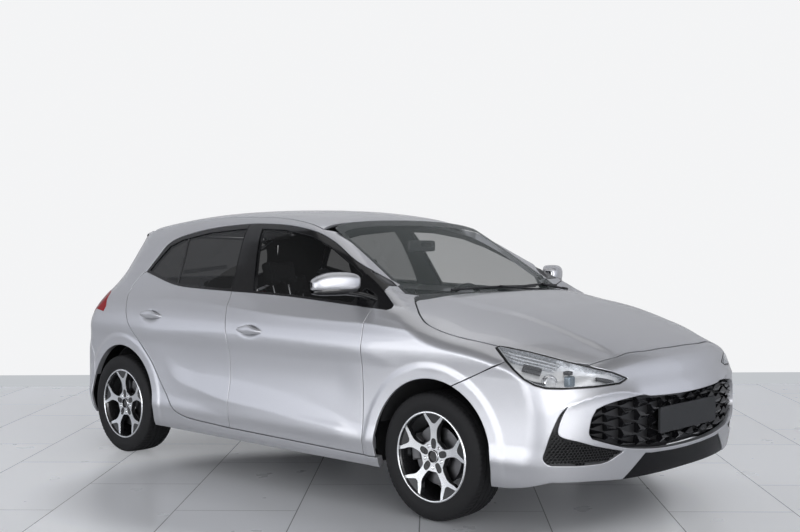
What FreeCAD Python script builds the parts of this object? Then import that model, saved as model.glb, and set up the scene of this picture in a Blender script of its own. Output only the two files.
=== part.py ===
import FreeCAD, Part
import math
import os

V = FreeCAD.Vector
os.makedirs("parts", exist_ok=True)

# Small hatchback car. +X forward, +Y left, +Z up, millimetres, on the ground at z = 0.

# overall
car_length = 4113.0
wheelbase = 2570.0
front_axle_x = 1188.5
rear_axle_x = front_axle_x - wheelbase
nose_x = car_length / 2
tail_x = -car_length / 2
half_width = 898.5
roof_z = 1502.0
sill_z = 200.0

# wheels
tyre_r = 304.0
tyre_w = 195.0
rim_r = 220.0
rim_w = 178.0
barrel_r = 196.0
hub_z = tyre_r
track_y = 765.0
stud_pcd = 108.0
stud_hole_r = 7.0
stud_count = 5
centre_bore_r = 32.5
disc_r = 141.0
disc_t = 22.0
spoke_w = 46.0
spoke_t = 30.0
arch_r = 355.0
arch_x_shift = 10.0
flare_w = 62.0
flare_out = 12.0
liner_gap = 6.0
liner_t = 4.0
kingpin_y = 720.0

# panels
shut_gap = 6.0
door_shrink = 5.0
door_grow = 1.0
door_skin_t = 30.0
door_edge_in = 35.0
door_core_gap = 14.0
fender_gap = 11.0
pin_r = 2.5
pin_seat = 0.3
pin_y = 881.0
pin_h = 40.0
pin_levels = [345.0, 790.0]
skin_t = 6.0
bonnet_t = 16.0
roof_t = 22.0
glass_t = 4.0
glass_in = 9.0
glass_seat = 0.3
frame_w = 34.0
door_low_t = 120.0
door_high_t = 44.0
tail_t = 60.0
spoiler_half = 566.0
lamp_depth = 110.0
lens_t = 3.0
floor_t = 8.0
floor_z = 210.0
boot_floor_z = 470.0
firewall_x = 742.0
firewall_t = 12.0
engine_x = 1045.0
hinge_in = 4.0

# steering and cabin
wheel_rim_r = 182.0
wheel_rim_tube = 15.0
steer_x = 330.0
steer_y = 360.0
steer_z = 880.0
steer_tilt = 24.0
seat_w = 500.0
seat_y = 360.0

# heights and half widths of the body, front to back and bottom to top
nose_line = [(150, nose_x - 80), (200, nose_x - 52), (260, nose_x - 28), (350, nose_x - 14),
             (440, nose_x), (555, nose_x), (640, nose_x - 14), (700, nose_x - 32),
             (760, nose_x - 50), (815, nose_x - 76), (900, nose_x - 140), (1100, nose_x - 330)]
tail_line = [(150, tail_x + 90), (200, tail_x + 60), (260, tail_x + 26), (350, tail_x + 10),
             (500, tail_x), (620, tail_x + 2), (700, tail_x + 24), (800, tail_x + 40),
             (900, tail_x + 62), (985, tail_x + 92), (1040, tail_x + 128), (1100, tail_x + 166),
             (1200, tail_x + 230), (1300, tail_x + 292), (1380, tail_x + 342), (1560, tail_x + 450)]
side_line = [(150, 836), (200, 850), (240, 868), (300, 879), (345, 885), (420, 876), (560, 870),
             (700, 875), (790, 885), (850, 879), (900, 865), (945, 846), (1000, 817),
             (1034, 801), (1100, 774), (1200, 731), (1300, 685), (1400, 634), (1460, 600),
             (1560, 540)]
roof_line = [(-2200, 1250), (-1662, 1398), (-1412, 1440), (-1112, 1476), (-812, 1497),
             (-562, roof_z), (-312, 1498), (-112, 1487), (88, 1462), (223, 1432), (600, 1330)]
roof_drop = [(0, 0), (200, 4), (400, 17), (500, 31), (560, 46), (600, 62), (640, 88), (700, 140),
             (900, 340)]
screen_line = [(880, 1170), (1000, 974), (1031, 920), (1130, 757), (1230, 589), (1330, 414),
               (1432, 227), (1500, 98), (1600, -95)]
bonnet_line = [(700, 1090), (860, 1060), (983, 1046), (1150, 1026), (1275, 1003), (1400, 982),
               (1500, 960), (1632, 922), (1750, 885), (1868, 848), (1974, 812), (2050, 772),
               (2150, 710)]
bonnet_side = [(700, 50), (938, 60), (1080, 98), (1188, 118), (1530, 120), (1680, 128),
               (1878, 200), (1990, 230), (2150, 250)]
bonnet_rear_x = 955.0
bonnet_hinge = (892.0, 996.0)
bonnet_arm_y = 660.0
hinge_r = 5.0
gate_hinge = (-1360.0, 1402.0)
gate_arm_y = 300.0
gate_sweep_r = 61.0
cowl_z = 1005.0

# panel outlines, (x, z) on the side unless said otherwise
arch_front = (front_axle_x + arch_x_shift, hub_z + 12)
arch_rear = (rear_axle_x + arch_x_shift, hub_z + 12)
window_top = [(-1255, 1128), (-1194, 1210), (-1116, 1306), (-1004, 1348), (-746, 1392),
              (-468, 1413), (-334, 1415), (-77, 1402), (164, 1363), (324, 1309), (549, 1205),
              (772, 1092), (901, 999)]
window_low = [(901, 999), (880, 977), (825, 981), (590, 996), (166, 1020), (-110, 1029), (-388, 1036),
              (-824, 1049), (-961, 1066), (-1255, 1128)]
front_cut = [(762, 262), (762, 812), (764, 850), (760, 905), (780, 984)]
middle_cut = [(-288, 276), (-288, 812), (-330, 922), (-350, 1038), (-424, 1407)]
rear_cut = [(-1282, 1117), (-1342, 1055), (-1366, 1003), (-1352, 940), (-1280, 813),
            (-1180, 716), (-1052, 602), (-962, 490), (-868, 392), (-800, 326), (-712, 298),
            (-594, 287)]
lamp_outline = [(1539, 841), (1554, 852), (1745, 811), (1885, 763), (1951, 730), (1996, 702),
                (1968, 676), (1893, 669), (1783, 660), (1713, 666), (1661, 696), (1619, 750),
                (1571, 806)]
bonnet_cut = [(bonnet_rear_x, 0), (962, 350), (966, 640), (985, 722), (1030, 765), (1100, 788),
              (1188, 795), (1300, 793), (1530, 780), (1680, 742), (1800, 680), (1878, 600),
              (1905, 540), (1945, 440), (1966, 256), (1972, 0)]
grille_hole = [(0, 602), (320, 612), (530, 601), (578, 575), (600, 519), (600, 470),
               (588, 444), (480, 410), (380, 381), (250, 357), (120, 347), (0, 345)]
vent_hole = [(730, 598), (752, 539), (766, 459), (782, 372), (770, 336), (690, 337), (600, 342),
             (490, 381), (600, 410), (690, 444), (728, 480), (740, 530)]
tail_lamp = [(840, 985), (700, 978), (585, 950), (560, 905), (575, 868), (700, 832), (900, 826),
             (900, 985)]
tailgate_cut = [(0, 1398), (470, 1398), (545, 1355), (592, 1240), (640, 1100), (655, 1010),
                (610, 960), (596, 900), (590, 830), (570, 700), (545, 668), (0, 668)]
rear_glass_cut = [(0, 1338), (300, 1328), (470, 1308), (505, 1292), (545, 1210), (575, 1110), (570, 1085),
                  (520, 1068), (0, 1068)]


def read(table, t):
    """Smooth value of a table at t, straight beyond its ends."""
    n = len(table)
    i = 0
    while i < n - 2 and t > table[i + 1][0]:
        i += 1
    x0, y0 = table[i]
    x1, y1 = table[i + 1]
    d = (y1 - y0) / (x1 - x0)
    if t < table[0][0] or t > table[-1][0]:
        return y0 + d * (t - x0)
    m0 = d
    m1 = d
    if i > 0:
        m0 = (y1 - table[i - 1][1]) / (x1 - table[i - 1][0])
    if i < n - 2:
        m1 = (table[i + 2][1] - y0) / (table[i + 2][0] - x0)
    h = x1 - x0
    s = (t - x0) / h
    return ((2 * s ** 3 - 3 * s ** 2 + 1) * y0 + (s ** 3 - 2 * s ** 2 + s) * h * m0
            + (3 * s ** 2 - 2 * s ** 3) * y1 + (s ** 3 - s ** 2) * h * m1)


def side_y(x, z):
    y = read(side_line, z)
    if x > 500:
        y -= 26 * ((x - 500) / 1300) ** 2
    if x < -700:
        y -= 14 * ((-700 - x) / 700) ** 2
    return y


def corner(y, wide, deep, power):
    t = min(abs(y) / wide, 0.999)
    return deep * (1 - (1 - t ** power) ** (1 / power))


def nose(y, z):
    return read(nose_line, z) - corner(y, read(side_line, min(z, 880)) + 50, 620, 2.6)


def tail(y, z):
    wide = read(side_line, z) + 42
    return read(tail_line, z) + corner(y, wide, 0.66 * wide, 2.7)


def roof(x, y):
    return read(roof_line, x) - read(roof_drop, abs(y))


def screen(y, z):
    return read(screen_line, z) - 60 * (y / 700) ** 2


def bonnet(x, y):
    return read(bonnet_line, x) - read(bonnet_side, x) * (abs(y) / 800) ** 3.2


def steps(a, b, n):
    return [a + (b - a) * i / (n - 1) for i in range(n)]


def surface(rows):
    s = Part.BSplineSurface()
    s.interpolate(rows)
    return s.toShape()


def swept(rows, way):
    s = surface(rows).extrude(way)
    return s if s.ShapeType == "Solid" else Part.Solid(s.Shells[0])


def mirrored(shape):
    return shape.mirror(V(0, 0, 0), V(0, 1, 0))


levels = [150, 200, 240, 300, 345, 420, 560, 700, 790, 850, 900, 945, 1000, 1034, 1100, 1200,
          1300, 1400, 1460, 1560]
across = [-930, -860, -780, -680, -560, -400, -200, 0, 200, 400, 560, 680, 780, 860, 930]


def left_side(inset, depth):
    """Solid from the left side surface inwards over a depth in y."""
    rows = [[V(x, side_y(x, z) - inset(z), z) for z in levels] for x in steps(-2250, 2250, 19)]
    return swept(rows, V(0, -depth, 0))


def inside_left(inset):
    return left_side(inset, 1900)


def inside_sides(inset):
    left = left_side(inset, 1900)
    return left.common(mirrored(left))


def behind_nose(inset):
    rows = []
    for t in [i / 14 for i in range(-14, 15)]:
        rows.append([V(nose(t * (read(side_line, min(z, 880)) + 30), z) - inset,
                       t * (read(side_line, min(z, 880)) + 30), z) for z in levels[:15]])
    return swept(rows, V(-3200, 0, 0))


def ahead_of_tail(inset):
    rows = []
    for t in [i / 14 for i in range(-14, 15)]:
        rows.append([V(tail(t * (read(side_line, z) + 22), z) + inset,
                       t * (read(side_line, z) + 22), z) for z in levels])
    return swept(rows, V(4300, 0, 0))


def roof_layer(inset, depth):
    return swept([[V(x, y, roof(x, y) - inset) for y in across] for x in steps(-2200, 1000, 17)],
                 V(0, 0, -depth))


def ahead_of_screen(inset):
    zs = steps(cowl_z - 2, 1560, 8)
    return swept([[V(screen(y, z) - 2 * inset, y, z) for z in zs] for y in across],
                 V(1400, 0, 0))


def under_bonnet(inset):
    return swept([[V(x, y, bonnet(x, y) - inset) for y in across] for x in steps(700, 2150, 15)],
                 V(0, 0, -1100))


def box(x0, x1, y0, y1, z0, z1):
    return Part.makeBox(x1 - x0, y1 - y0, z1 - z0, V(x0, y0, z0))


def both(shape):
    return [shape, mirrored(shape)]


def fuse(*shapes):
    out = shapes[0]
    rest = [s for s in shapes[1:]]
    if rest:
        out = out.multiFuse(rest)
    return out.removeSplitter()


def line_wire(points, to3d, smooth):
    """Closed wire through points: one smooth curve per run, a run ends at each corner."""
    edges = []
    for run in points:
        pts = [to3d(p) for p in run]
        if len(pts) == 2 or not smooth:
            for a, b in zip(pts, pts[1:]):
                edges.append(Part.makeLine(a, b))
        else:
            c = Part.BSplineCurve()
            c.interpolate(pts)
            edges.append(c.toShape())
    return Part.Wire(Part.__sortEdges__(edges))


def outline(runs, axis, grow=0.0, smooth=True):
    """Flat face of an outline given as runs of (a, b), grown or shrunk by an offset."""
    if axis == "y":
        face = Part.Face(line_wire(runs, lambda p: V(p[0], 0, p[1]), smooth))
    elif axis == "x":
        face = Part.Face(line_wire(runs, lambda p: V(0, p[0], p[1]), smooth))
    else:
        face = Part.Face(line_wire(runs, lambda p: V(p[0], p[1], 0), smooth))
    if grow:
        face = face.makeOffset2D(grow)
    return face


def prism(face, axis, a, b):
    way = {"x": V(1, 0, 0), "y": V(0, 1, 0), "z": V(0, 0, 1)}[axis]
    moved = face.copy()
    moved.translate(way * a)
    return moved.extrude(way * (b - a))


def poly(points, axis, a, b, grow=0.0):
    runs = [points + [points[0]]]
    return prism(outline(runs, axis, grow, smooth=False), axis, a, b)


def mirror_pairs(points):
    """Closes a half outline given from y = 0 to y = 0 over both sides."""
    return points + [(-y, z) for y, z in reversed(points) if y > 0]


def ring(x, z, r0, r1, y0, y1):
    a = Part.makeCylinder(r1, y1 - y0, V(x, y0, z), V(0, 1, 0))
    return a.cut(Part.makeCylinder(r0, y1 - y0 + 2, V(x, y0 - 1, z), V(0, 1, 0)))


def rod(a, b, r):
    d = V(*b) - V(*a)
    return Part.makeCylinder(r, d.Length, V(*a), d)


def soft_box(x0, x1, y0, y1, z0, z1, r):
    b = box(x0, x1, y0, y1, z0, z1)
    return b.makeFillet(r, b.Edges)


def bent_arm(points, r, y0, y1):
    """Flat hinge arm through points (x, z), with an eye at the first."""
    eye = Part.makeCylinder(hinge_r + 5, y1 - y0, V(points[0][0], y0, points[0][1]), V(0, 1, 0))
    parts = [Part.makeCylinder(r, y1 - y0, V(x, y0, z), V(0, 1, 0)) for x, z in points[1:]]
    for (x0, z0), (x1, z1) in zip(points, points[1:]):
        n = math.hypot(x1 - x0, z1 - z0)
        px, pz = -(z1 - z0) / n * r, (x1 - x0) / n * r
        parts.append(poly([(x0 + px, z0 + pz), (x1 + px, z1 + pz), (x1 - px, z1 - pz),
                           (x0 - px, z0 - pz)], "y", y0, y1))
    return eye.multiFuse(parts).removeSplitter()


nodes = {}


def save(name, *shapes):
    shape = shapes[0] if len(shapes) == 1 else Part.makeCompound(list(shapes))
    nodes[name] = shape
    shape.exportStep("parts/" + name + ".step")
    parts_bad = [s for s in shape.Solids if not s.isValid()]
    b = shape.BoundBox
    print(name, len(shape.Solids), "bad" if parts_bad or not shape.Solids else "ok",
          [round(v) for v in (b.XMin, b.XMax, b.YMin, b.YMax, b.ZMin, b.ZMax)],
          round(shape.Volume / 1e6, 2))


# the outer body as two solids, cut into panels below
sides = inside_sides(lambda z: 0.0)
noses = behind_nose(0.0)
tails = ahead_of_tail(0.0)
rear_part = sides.common(roof_layer(0.0, 1450)).common(tails)
rear_part = rear_part.common(box(-2200, bonnet_rear_x, -950, 950, sill_z, 1600))
rear_part = rear_part.cut(ahead_of_screen(0.0))
front_part = sides.common(box(bonnet_rear_x, 2150, -950, 950, sill_z, 1200))
front_part = front_part.common(under_bonnet(0.0)).common(noses)
print("body", rear_part.isValid(), front_part.isValid(), rear_part.Volume / 1e9)


def door_depth(z):
    if z < 960:
        return door_low_t
    if z > 1060:
        return door_high_t
    return door_low_t + (door_high_t - door_low_t) * (z - 960) / 100


inner_sides = inside_sides(door_depth)
left_space = box(-2200, 2200, 1, 1000, 100, 1600)
side_wall = rear_part.common(left_space).cut(inner_sides)
left_front = front_part.common(box(bonnet_rear_x, 2150, 1, 950, 100, 1200))


# doors: window frames and outer panel as thick as the whole door
door_top_front = [p for p in window_top if p[0] > middle_cut[-1][0]]
door_top_rear = [p for p in window_top if p[0] < middle_cut[-1][0]]
front_face = outline([front_cut + [(784, 1040), (772, 1092)],
                      list(reversed([middle_cut[-1]] + door_top_front[:-1])),
                      middle_cut, [middle_cut[0], front_cut[0]]], "y", smooth=False)
rear_face = outline([middle_cut, door_top_rear + [middle_cut[-1]],
                     [rear_cut[0], door_top_rear[0]], rear_cut,
                     [rear_cut[-1], middle_cut[0]]], "y", smooth=False)
window_face = outline([window_top, window_low], "y", smooth=False)
window_face = window_face.makeOffset2D(-frame_w / 2)
front_door_face = front_face.makeOffset2D(-door_shrink)
rear_door_face = rear_face.makeOffset2D(-door_shrink)
front_core_face = front_face.makeOffset2D(-door_edge_in)
rear_core_face = rear_face.makeOffset2D(-door_edge_in)
front_pin_x = front_cut[0][0] - door_shrink + pin_r + pin_seat - 0.1
rear_pin_x = middle_cut[0][0] - door_shrink + pin_r + pin_seat - 0.1
deep_side = inside_left(lambda z: door_skin_t)
front_hole = window_face.common(front_face.makeOffset2D(-frame_w)).Faces[0]
rear_hole = window_face.common(rear_face.makeOffset2D(-frame_w)).Faces[0]
glass_slab = left_side(lambda z: glass_in, glass_t)

handle_in = {"front": (-118, 848), "rear": (-1081, 889)}
handle_l = 236.0
handle_h = 40.0


def pins(x, r, extra):
    """Hinge pins on a door's axis, as one list."""
    return [Part.makeCylinder(r, pin_h + 2 * extra, V(x, pin_y, z - pin_h / 2 - extra))
            for z in pin_levels]


def handle(x, z):
    y = side_y(x, z)
    bar = soft_box(x - handle_l / 2, x + handle_l / 2, y - 8, min(y + 22, half_width), z - handle_h / 2,
                   z + handle_h / 2, 9)
    return bar


doors = {}
for key, face, core, hole, pin_x in (
        ("front", front_door_face, front_core_face, front_hole, front_pin_x),
        ("rear", rear_door_face, rear_core_face, rear_hole, rear_pin_x)):
    edge_zone = prism(face, "y", 100, 1000).cut(prism(core, "y", 90, 1010)).common(deep_side)
    door = side_wall.common(prism(face, "y", 100, 1000))
    door = door.cut([prism(hole, "y", 100, 1000), edge_zone] + pins(pin_x, pin_r + pin_seat, 1))
    door = max(door.Solids, key=lambda s: s.Volume).fuse(handle(*handle_in[key]))
    doors[key] = door
    pane = glass_slab.common(prism(hole.makeOffset2D(-glass_seat), "y", 100, 1000))
    save("door_" + key + "_left", door)
    save("door_" + key + "_right", mirrored(door))
    save("glass_" + key + "_left", pane)
    save("glass_" + key + "_right", mirrored(pane))
# body sides: pillars, roof rail, sill and rear quarter in one ring
arch_front_cut = Part.makeCylinder(arch_r, 700, V(arch_front[0], 300, arch_front[1]), V(0, 1, 0))
arch_rear_cut = Part.makeCylinder(arch_r, 700, V(arch_rear[0], 300, arch_rear[1]), V(0, 1, 0))
flange_side = inside_left(lambda z: door_skin_t + shut_gap)
front_gap_cut = prism(front_face.makeOffset2D(door_grow), "y", 100, 1000)
rear_gap_cut = prism(rear_face.makeOffset2D(door_grow), "y", 100, 1000)
front_core_cut = prism(front_face.makeOffset2D(door_core_gap - door_edge_in), "y", 100, 1000)
rear_core_cut = prism(rear_face.makeOffset2D(door_core_gap - door_edge_in), "y", 100, 1000)
front_skin_cut = front_gap_cut.cut(flange_side)
rear_skin_cut = rear_gap_cut.cut(flange_side)
bumper_rear_edge = [(-2200, 100), (-1640, 100), (-1712, 560), (-1775, 690), (-1835, 824),
                    (-2200, 824)]
bumper_front_edge = [(1525, 100), (1525, 560), (1619, 752), (1661, 696), (1713, 666),
                     (1783, 660), (1893, 669), (1968, 676), (1996, 702), (1990, 760),
                     (2000, 830), (2300, 830), (2300, 100)]
tail_inner = ahead_of_tail(tail_t)
tail_wall = rear_part.common(box(-2200, -1250, 1, 1000, 100, 1600)).cut(tail_inner)
tailgate_face = outline([mirror_pairs(tailgate_cut) + [mirror_pairs(tailgate_cut)[0]]], "x",
                        smooth=False)
tailgate_prism = prism(tailgate_face, "x", -2200, -1300)
tailgate_gap = prism(tailgate_face.makeOffset2D(shut_gap), "x", -2200, -1300)
lamp_prism = poly(tail_lamp, "x", -2200, -1790)
lamp_seat = poly(tail_lamp, "x", -2200, -1790, glass_seat)
rear_bumper_prism = poly(bumper_rear_edge, "y", 0, 1000)
spoiler_gap = box(-1800, -1398, 0, spoiler_half + shut_gap, 1290, 1600)
fender_x = front_cut[0][0] - door_shrink + fender_gap
ring_area = box(-2200, fender_x, 1, 1000, sill_z, 1600).fuse(
    box(760, bonnet_rear_x, 1, 1000, 985, 1600))
ring_area = ring_area.fuse(left_side(lambda z: skin_t + glass_seat, 300).common(
    box(760, 860, 1, 1000, sill_z, 986)))
body_side = side_wall.common(ring_area).fuse(tail_wall)
body_side = body_side.cut([front_skin_cut, rear_skin_cut, front_core_cut, rear_core_cut,
                           box(front_cut[0][0] - 8, fender_x, 878 - 20, 1000, 262, 984),
                           arch_rear_cut, rear_bumper_prism, tailgate_gap, lamp_seat,
                           spoiler_gap])
webs = []
for z in pin_levels:
    inner_y = side_y(fender_x, z) - skin_t - 1
    webs.append(box(front_pin_x, fender_x - 0.3, pin_y - 9, pin_y, z - pin_h / 2, z + pin_h / 2))
    webs.append(box(front_pin_x, fender_x + 1, pin_y - 12, inner_y, z - pin_h / 2, z + pin_h / 2))
webs += [box(rear_pin_x - 1, rear_pin_x + 1, pin_y - 36, pin_y, z - pin_h / 2, z + pin_h / 2)
         for z in pin_levels]
body_side = max(body_side.Solids, key=lambda s: s.Volume)
flare_band = ring(arch_rear[0], arch_rear[1], arch_r, arch_r + flare_w, 700, half_width)
flare_skin = left_side(lambda z: -flare_out, skin_t + flare_out)
rear_flare = flare_band.common(flare_skin).common(box(-1712, -900, 700, 950, 330, 1000))
rear_flare = rear_flare.cut([rear_gap_cut, rear_bumper_prism])
body_side = body_side.multiFuse([rear_flare] + webs + pins(front_pin_x, pin_r, 0)
                                + pins(rear_pin_x, pin_r, 0))
body_side = max(body_side.Solids, key=lambda s: s.Volume)
save("body_side_left", body_side)
save("body_side_right", mirrored(body_side))

# roof between the two sides, from the windscreen to the tailgate
roof_mid = rear_part.common(inner_sides).common(box(-1398, 223, -900, 900, 1300, 1600))
gx, gz = gate_hinge
gate_pin = fuse(Part.makeCylinder(hinge_r, 26, V(gx, gate_arm_y - 3, gz), V(0, 1, 0)),
                box(gx - 9, gx + 40, gate_arm_y + 12, gate_arm_y + 22, gz - 8, 1432))
arm_notch = box(-1401, -1380, gate_arm_y - 6, gate_arm_y + 14, 1380, 1426)
roof_mid = roof_mid.cut(roof_layer(roof_t, 900)).cut(both(arm_notch))
save("roof_panel", roof_mid.multiFuse(both(gate_pin)))

# windscreen
inner_glass = inside_sides(lambda z: door_depth(z) + glass_seat)
pane = inner_glass.common(box(223.3, 1000, -900, 900, cowl_z + 0.3, 1500)).common(rear_part)
pane = pane.common(ahead_of_screen(2.0 + glass_t)).cut(ahead_of_screen(2.0))
screen_notch = box(870, 940, bonnet_arm_y - 6, bonnet_arm_y + 14, 990, 1020)
save("windscreen", pane.cut(both(screen_notch)))

# tailgate with the roof spoiler above it
spoiler = rear_part.common(box(-1800, -1404, -spoiler_half, spoiler_half, 1300, 1600))
spoiler = spoiler.cut(roof_layer(34, 900))
gate = rear_part.common(tailgate_prism).cut(tail_inner)
# the front edge is hollowed round the hinge, so that it turns clear of the roof's rear edge
gate_sweep = Part.makeCylinder(gate_sweep_r, 1800, V(gate_hinge[0], -900, gate_hinge[1]), V(0, 1, 0))
spoiler = spoiler.cut(gate_sweep)
gate = gate.cut(gate_sweep)
# its side edges are drafted by the pillar's own edge turned about the hinge
turned_edges = []
for turn in (1.5, 3, 4.5, 6, 7.5, 9):
    edge = body_side.common(box(-1850, -1450, 480, 720, 1060, 1350))
    edge.rotate(V(gate_hinge[0], 0, gate_hinge[1]), V(0, 1, 0), -turn)
    edge.translate(V(0, -0.5 * turn, 0))
    turned_edges += both(edge)
gate = gate.cut(turned_edges)
gate = max(gate.Solids, key=lambda s: s.Volume)
glass_hole = prism(outline([mirror_pairs(rear_glass_cut) + [mirror_pairs(rear_glass_cut)[0]]],
                           "x", smooth=False), "x", -2200, -1300)
pane_hole = prism(outline([mirror_pairs(rear_glass_cut) + [mirror_pairs(rear_glass_cut)[0]]],
                          "x", -glass_seat, smooth=False), "x", -2200, -1300)
gx, gz = gate_hinge
arm = bent_arm([(gx, gz), (gx - 20, gz - 55), (gx - 65, gz - 28), (gx - 66, gz + 6)], 5,
               gate_arm_y, gate_arm_y + 8)
arm = arm.cut(Part.makeCylinder(hinge_r + pin_seat, 40, V(gx, gate_arm_y - 10, gz), V(0, 1, 0)))
gate = gate.cut(glass_hole).multiFuse([spoiler] + both(arm))
save("tailgate", gate)
pane = ahead_of_tail(8).common(rear_part).common(pane_hole).cut(ahead_of_tail(8 + glass_t))
save("tailgate_glass", pane)

# tail lamps on the body corners
lamp = rear_part.common(lamp_prism)
lamp = lamp.cut([ahead_of_tail(45).common(inside_left(lambda z: 45.0)), tailgate_gap])
save("tail_lamps", *both(max(lamp.Solids, key=lambda s: s.Volume)))

# bumpers and front panels
bumper_skin = rear_part.common(box(-2200, -1500, 1, 1000, sill_z, 830)).common(rear_bumper_prism)
bumper_skin = bumper_skin.cut(ahead_of_tail(12).common(inside_left(lambda z: 12.0)))
half_bumper = bumper_skin.cut([tailgate_gap, lamp_seat, arch_rear_cut])
half_bumper = max(half_bumper.Solids, key=lambda s: s.Volume)
filler = rear_part.common(box(-2200, -1990, -1.2, 1.2, sill_z, 660)).cut(ahead_of_tail(12))
save("rear_bumper", fuse(half_bumper, mirrored(half_bumper), filler))
print("rear done")

# front: bonnet, lamps, fenders, bumper with its grilles


def plan_prism(points, grow, z0, z1):
    """Prism up from a half outline in plan, points (x, y) from y = 0 to y = 0."""
    ring_points = points + [(x, -y) for x, y in reversed(points) if y > 0]
    runs = [ring_points + [ring_points[0]]]
    return prism(outline(runs, "z", grow, smooth=False), "z", z0, z1)


bonnet_prism = plan_prism(bonnet_cut, 0, 720, 1200)
bonnet_gap = plan_prism(bonnet_cut, shut_gap, 720, 1200)
bonnet_shell = front_part.common(bonnet_prism)
bonnet_shell = bonnet_shell.cut(under_bonnet(bonnet_t))
bonnet_shell = max(bonnet_shell.Solids, key=lambda s: s.Volume)
hx, hz = bonnet_hinge
arm = bent_arm([(hx, hz), (hx + 70, bonnet(hx + 90, bonnet_arm_y) - 30),
                (hx + 140, bonnet(hx + 140, bonnet_arm_y) - 12)], 7,
               bonnet_arm_y, bonnet_arm_y + 8)
arm = arm.cut(Part.makeCylinder(hinge_r + pin_seat, 40, V(hx, bonnet_arm_y - 10, hz), V(0, 1, 0)))
save("bonnet", bonnet_shell.multiFuse(both(arm)))

lamp_out = poly(lamp_outline, "y", 380, 1000, -1.0)
lamp_gap = poly(lamp_outline, "y", 380, 1000, 0.0)
lamp_deep = inside_left(lambda z: lamp_depth).common(behind_nose(lamp_depth))
lamp_back = inside_left(lambda z: lens_t + glass_seat).common(behind_nose(lens_t + glass_seat))
lamp_all = left_front.common(lamp_out).cut([lamp_deep, bonnet_gap])
lamp_body = lamp_all.common(lamp_back)
lamp_lens = lamp_all.cut(inside_left(lambda z: lens_t).common(behind_nose(lens_t)))
save("headlamps", *both(max(lamp_body.Solids, key=lambda s: s.Volume)))
save("headlamp_lenses", *both(max(lamp_lens.Solids, key=lambda s: s.Volume)))

front_bumper_prism = poly(bumper_front_edge, "y", -1000, 1000)
fender = rear_part.common(box(fender_x, bonnet_rear_x, 600, 950, 262, 984.7)).fuse(
    left_front.common(box(bonnet_rear_x, 1720, 1, 950, 262, 1200)))
fender = fender.cut(inside_left(lambda z: skin_t).common(under_bonnet(skin_t)))
fender = fender.cut([bonnet_gap, lamp_gap, front_bumper_prism, arch_front_cut,
                     box(bonnet_rear_x - 1, bonnet_rear_x + 45, 0, 690, 985, 1200),
                     prism(front_face.makeOffset2D(shut_gap), "y", 100, 1000)])
fender = max(fender.Solids, key=lambda s: s.Volume)
flare_band = ring(arch_front[0], arch_front[1], arch_r, arch_r + flare_w, 700, half_width)
front_flare = flare_band.common(flare_skin).common(box(780, 1530, 700, 950, 262, 1000))
front_flare = front_flare.cut(front_bumper_prism)
fender = fender.fuse(front_flare)
fender = max(fender.Solids, key=lambda s: s.Volume)
save("fender_left", fender)
save("fender_right", mirrored(fender))

bumper_inner = inside_sides(lambda z: 14.0).common(behind_nose(20.0)).common(under_bonnet(14.0))
bumper = front_part.common(box(1500, 2200, -950, 950, sill_z, 900)).common(front_bumper_prism)
bumper = bumper.cut(bumper_inner)
grille_prism = poly(mirror_pairs(grille_hole), "x", 1700, 2200)
vent_prism = poly(vent_hole, "x", 1600, 2200)
bumper = bumper.cut([bonnet_gap, lamp_gap, mirrored(lamp_gap), arch_front_cut,
                     mirrored(arch_front_cut), grille_prism, vent_prism, mirrored(vent_prism)])
save("front_bumper", max(bumper.Solids, key=lambda s: s.Volume))

grille_layer = front_part.common(behind_nose(9.0)).cut(behind_nose(19.0))
grille = grille_layer.common(poly(mirror_pairs(grille_hole), "x", 1700, 2200, -glass_seat))
plate = box(2020, nose_x - 4, -257, 257, 437, 555).common(front_part).cut(behind_nose(14.0))
grille = max(grille.Solids, key=lambda s: s.Volume).fuse(plate)
vent = grille_layer.common(poly(vent_hole, "x", 1600, 2200, -glass_seat))
vent = max(vent.Solids, key=lambda s: s.Volume)
save("front_grilles", grille, *both(vent))

# floor structure that carries the panels
floor_area = inside_sides(lambda z: door_low_t + pin_seat)
floor = box(-1010, firewall_x, -800, 800, floor_z, floor_z + floor_t).common(floor_area)
boot = box(-1985, -1002, -800, 800, boot_floor_z, boot_floor_z + floor_t).common(tail_inner)
riser = box(-1010, -1002, -800, 800, floor_z, boot_floor_z + floor_t)
firewall = fuse(box(firewall_x, firewall_x + firewall_t, -800, 800, floor_z, 880),
                box(firewall_x, firewall_x + firewall_t, -715, 715, 870, 960))
rear_panel = box(-1985, -1977, -560, 560, 300, 655).common(tail_inner)
hinge_post = fuse(box(firewall_x, bonnet_hinge[0] + 12, bonnet_arm_y + 20, bonnet_arm_y + 30,
                      bonnet_hinge[1] - 60, bonnet_hinge[1] + 8),
                  Part.makeCylinder(hinge_r, 32, V(bonnet_hinge[0], bonnet_arm_y - 3,
                                                   bonnet_hinge[1]), V(0, 1, 0)))
rails = fuse(box(firewall_x, 1880, 430, 495, 400, 470), box(1880, 1900, 0, 600, 330, 640))
tower = fuse(box(front_axle_x - 90, front_axle_x + 90, 495, 640, 680, 800),
             box(front_axle_x - 90, front_axle_x + 90, 470, 495, 400, 800))
floor = fuse(floor, boot.common(floor_area), riser.common(floor_area),
             firewall.common(floor_area), rear_panel, *both(rails), *both(tower),
             *both(hinge_post))
wheel_rear = Part.makeCylinder(arch_r, 400, V(arch_rear[0], 540, arch_rear[1]), V(0, 1, 0))
house = Part.makeCylinder(arch_r + 6, 300, V(arch_rear[0], 534, arch_rear[1]), V(0, 1, 0))
house = house.cut(wheel_rear).common(box(-1985, -1002, 500, 800, 330, 900)).common(floor_area)
house = house.cut(box(-1985, -1002, 500, 533, 0, 900))
floor = floor.cut(wheel_rear).cut(mirrored(wheel_rear))
floor = fuse(floor, *both(house))
save("body_floor", max(floor.Solids, key=lambda s: s.Volume))

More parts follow.
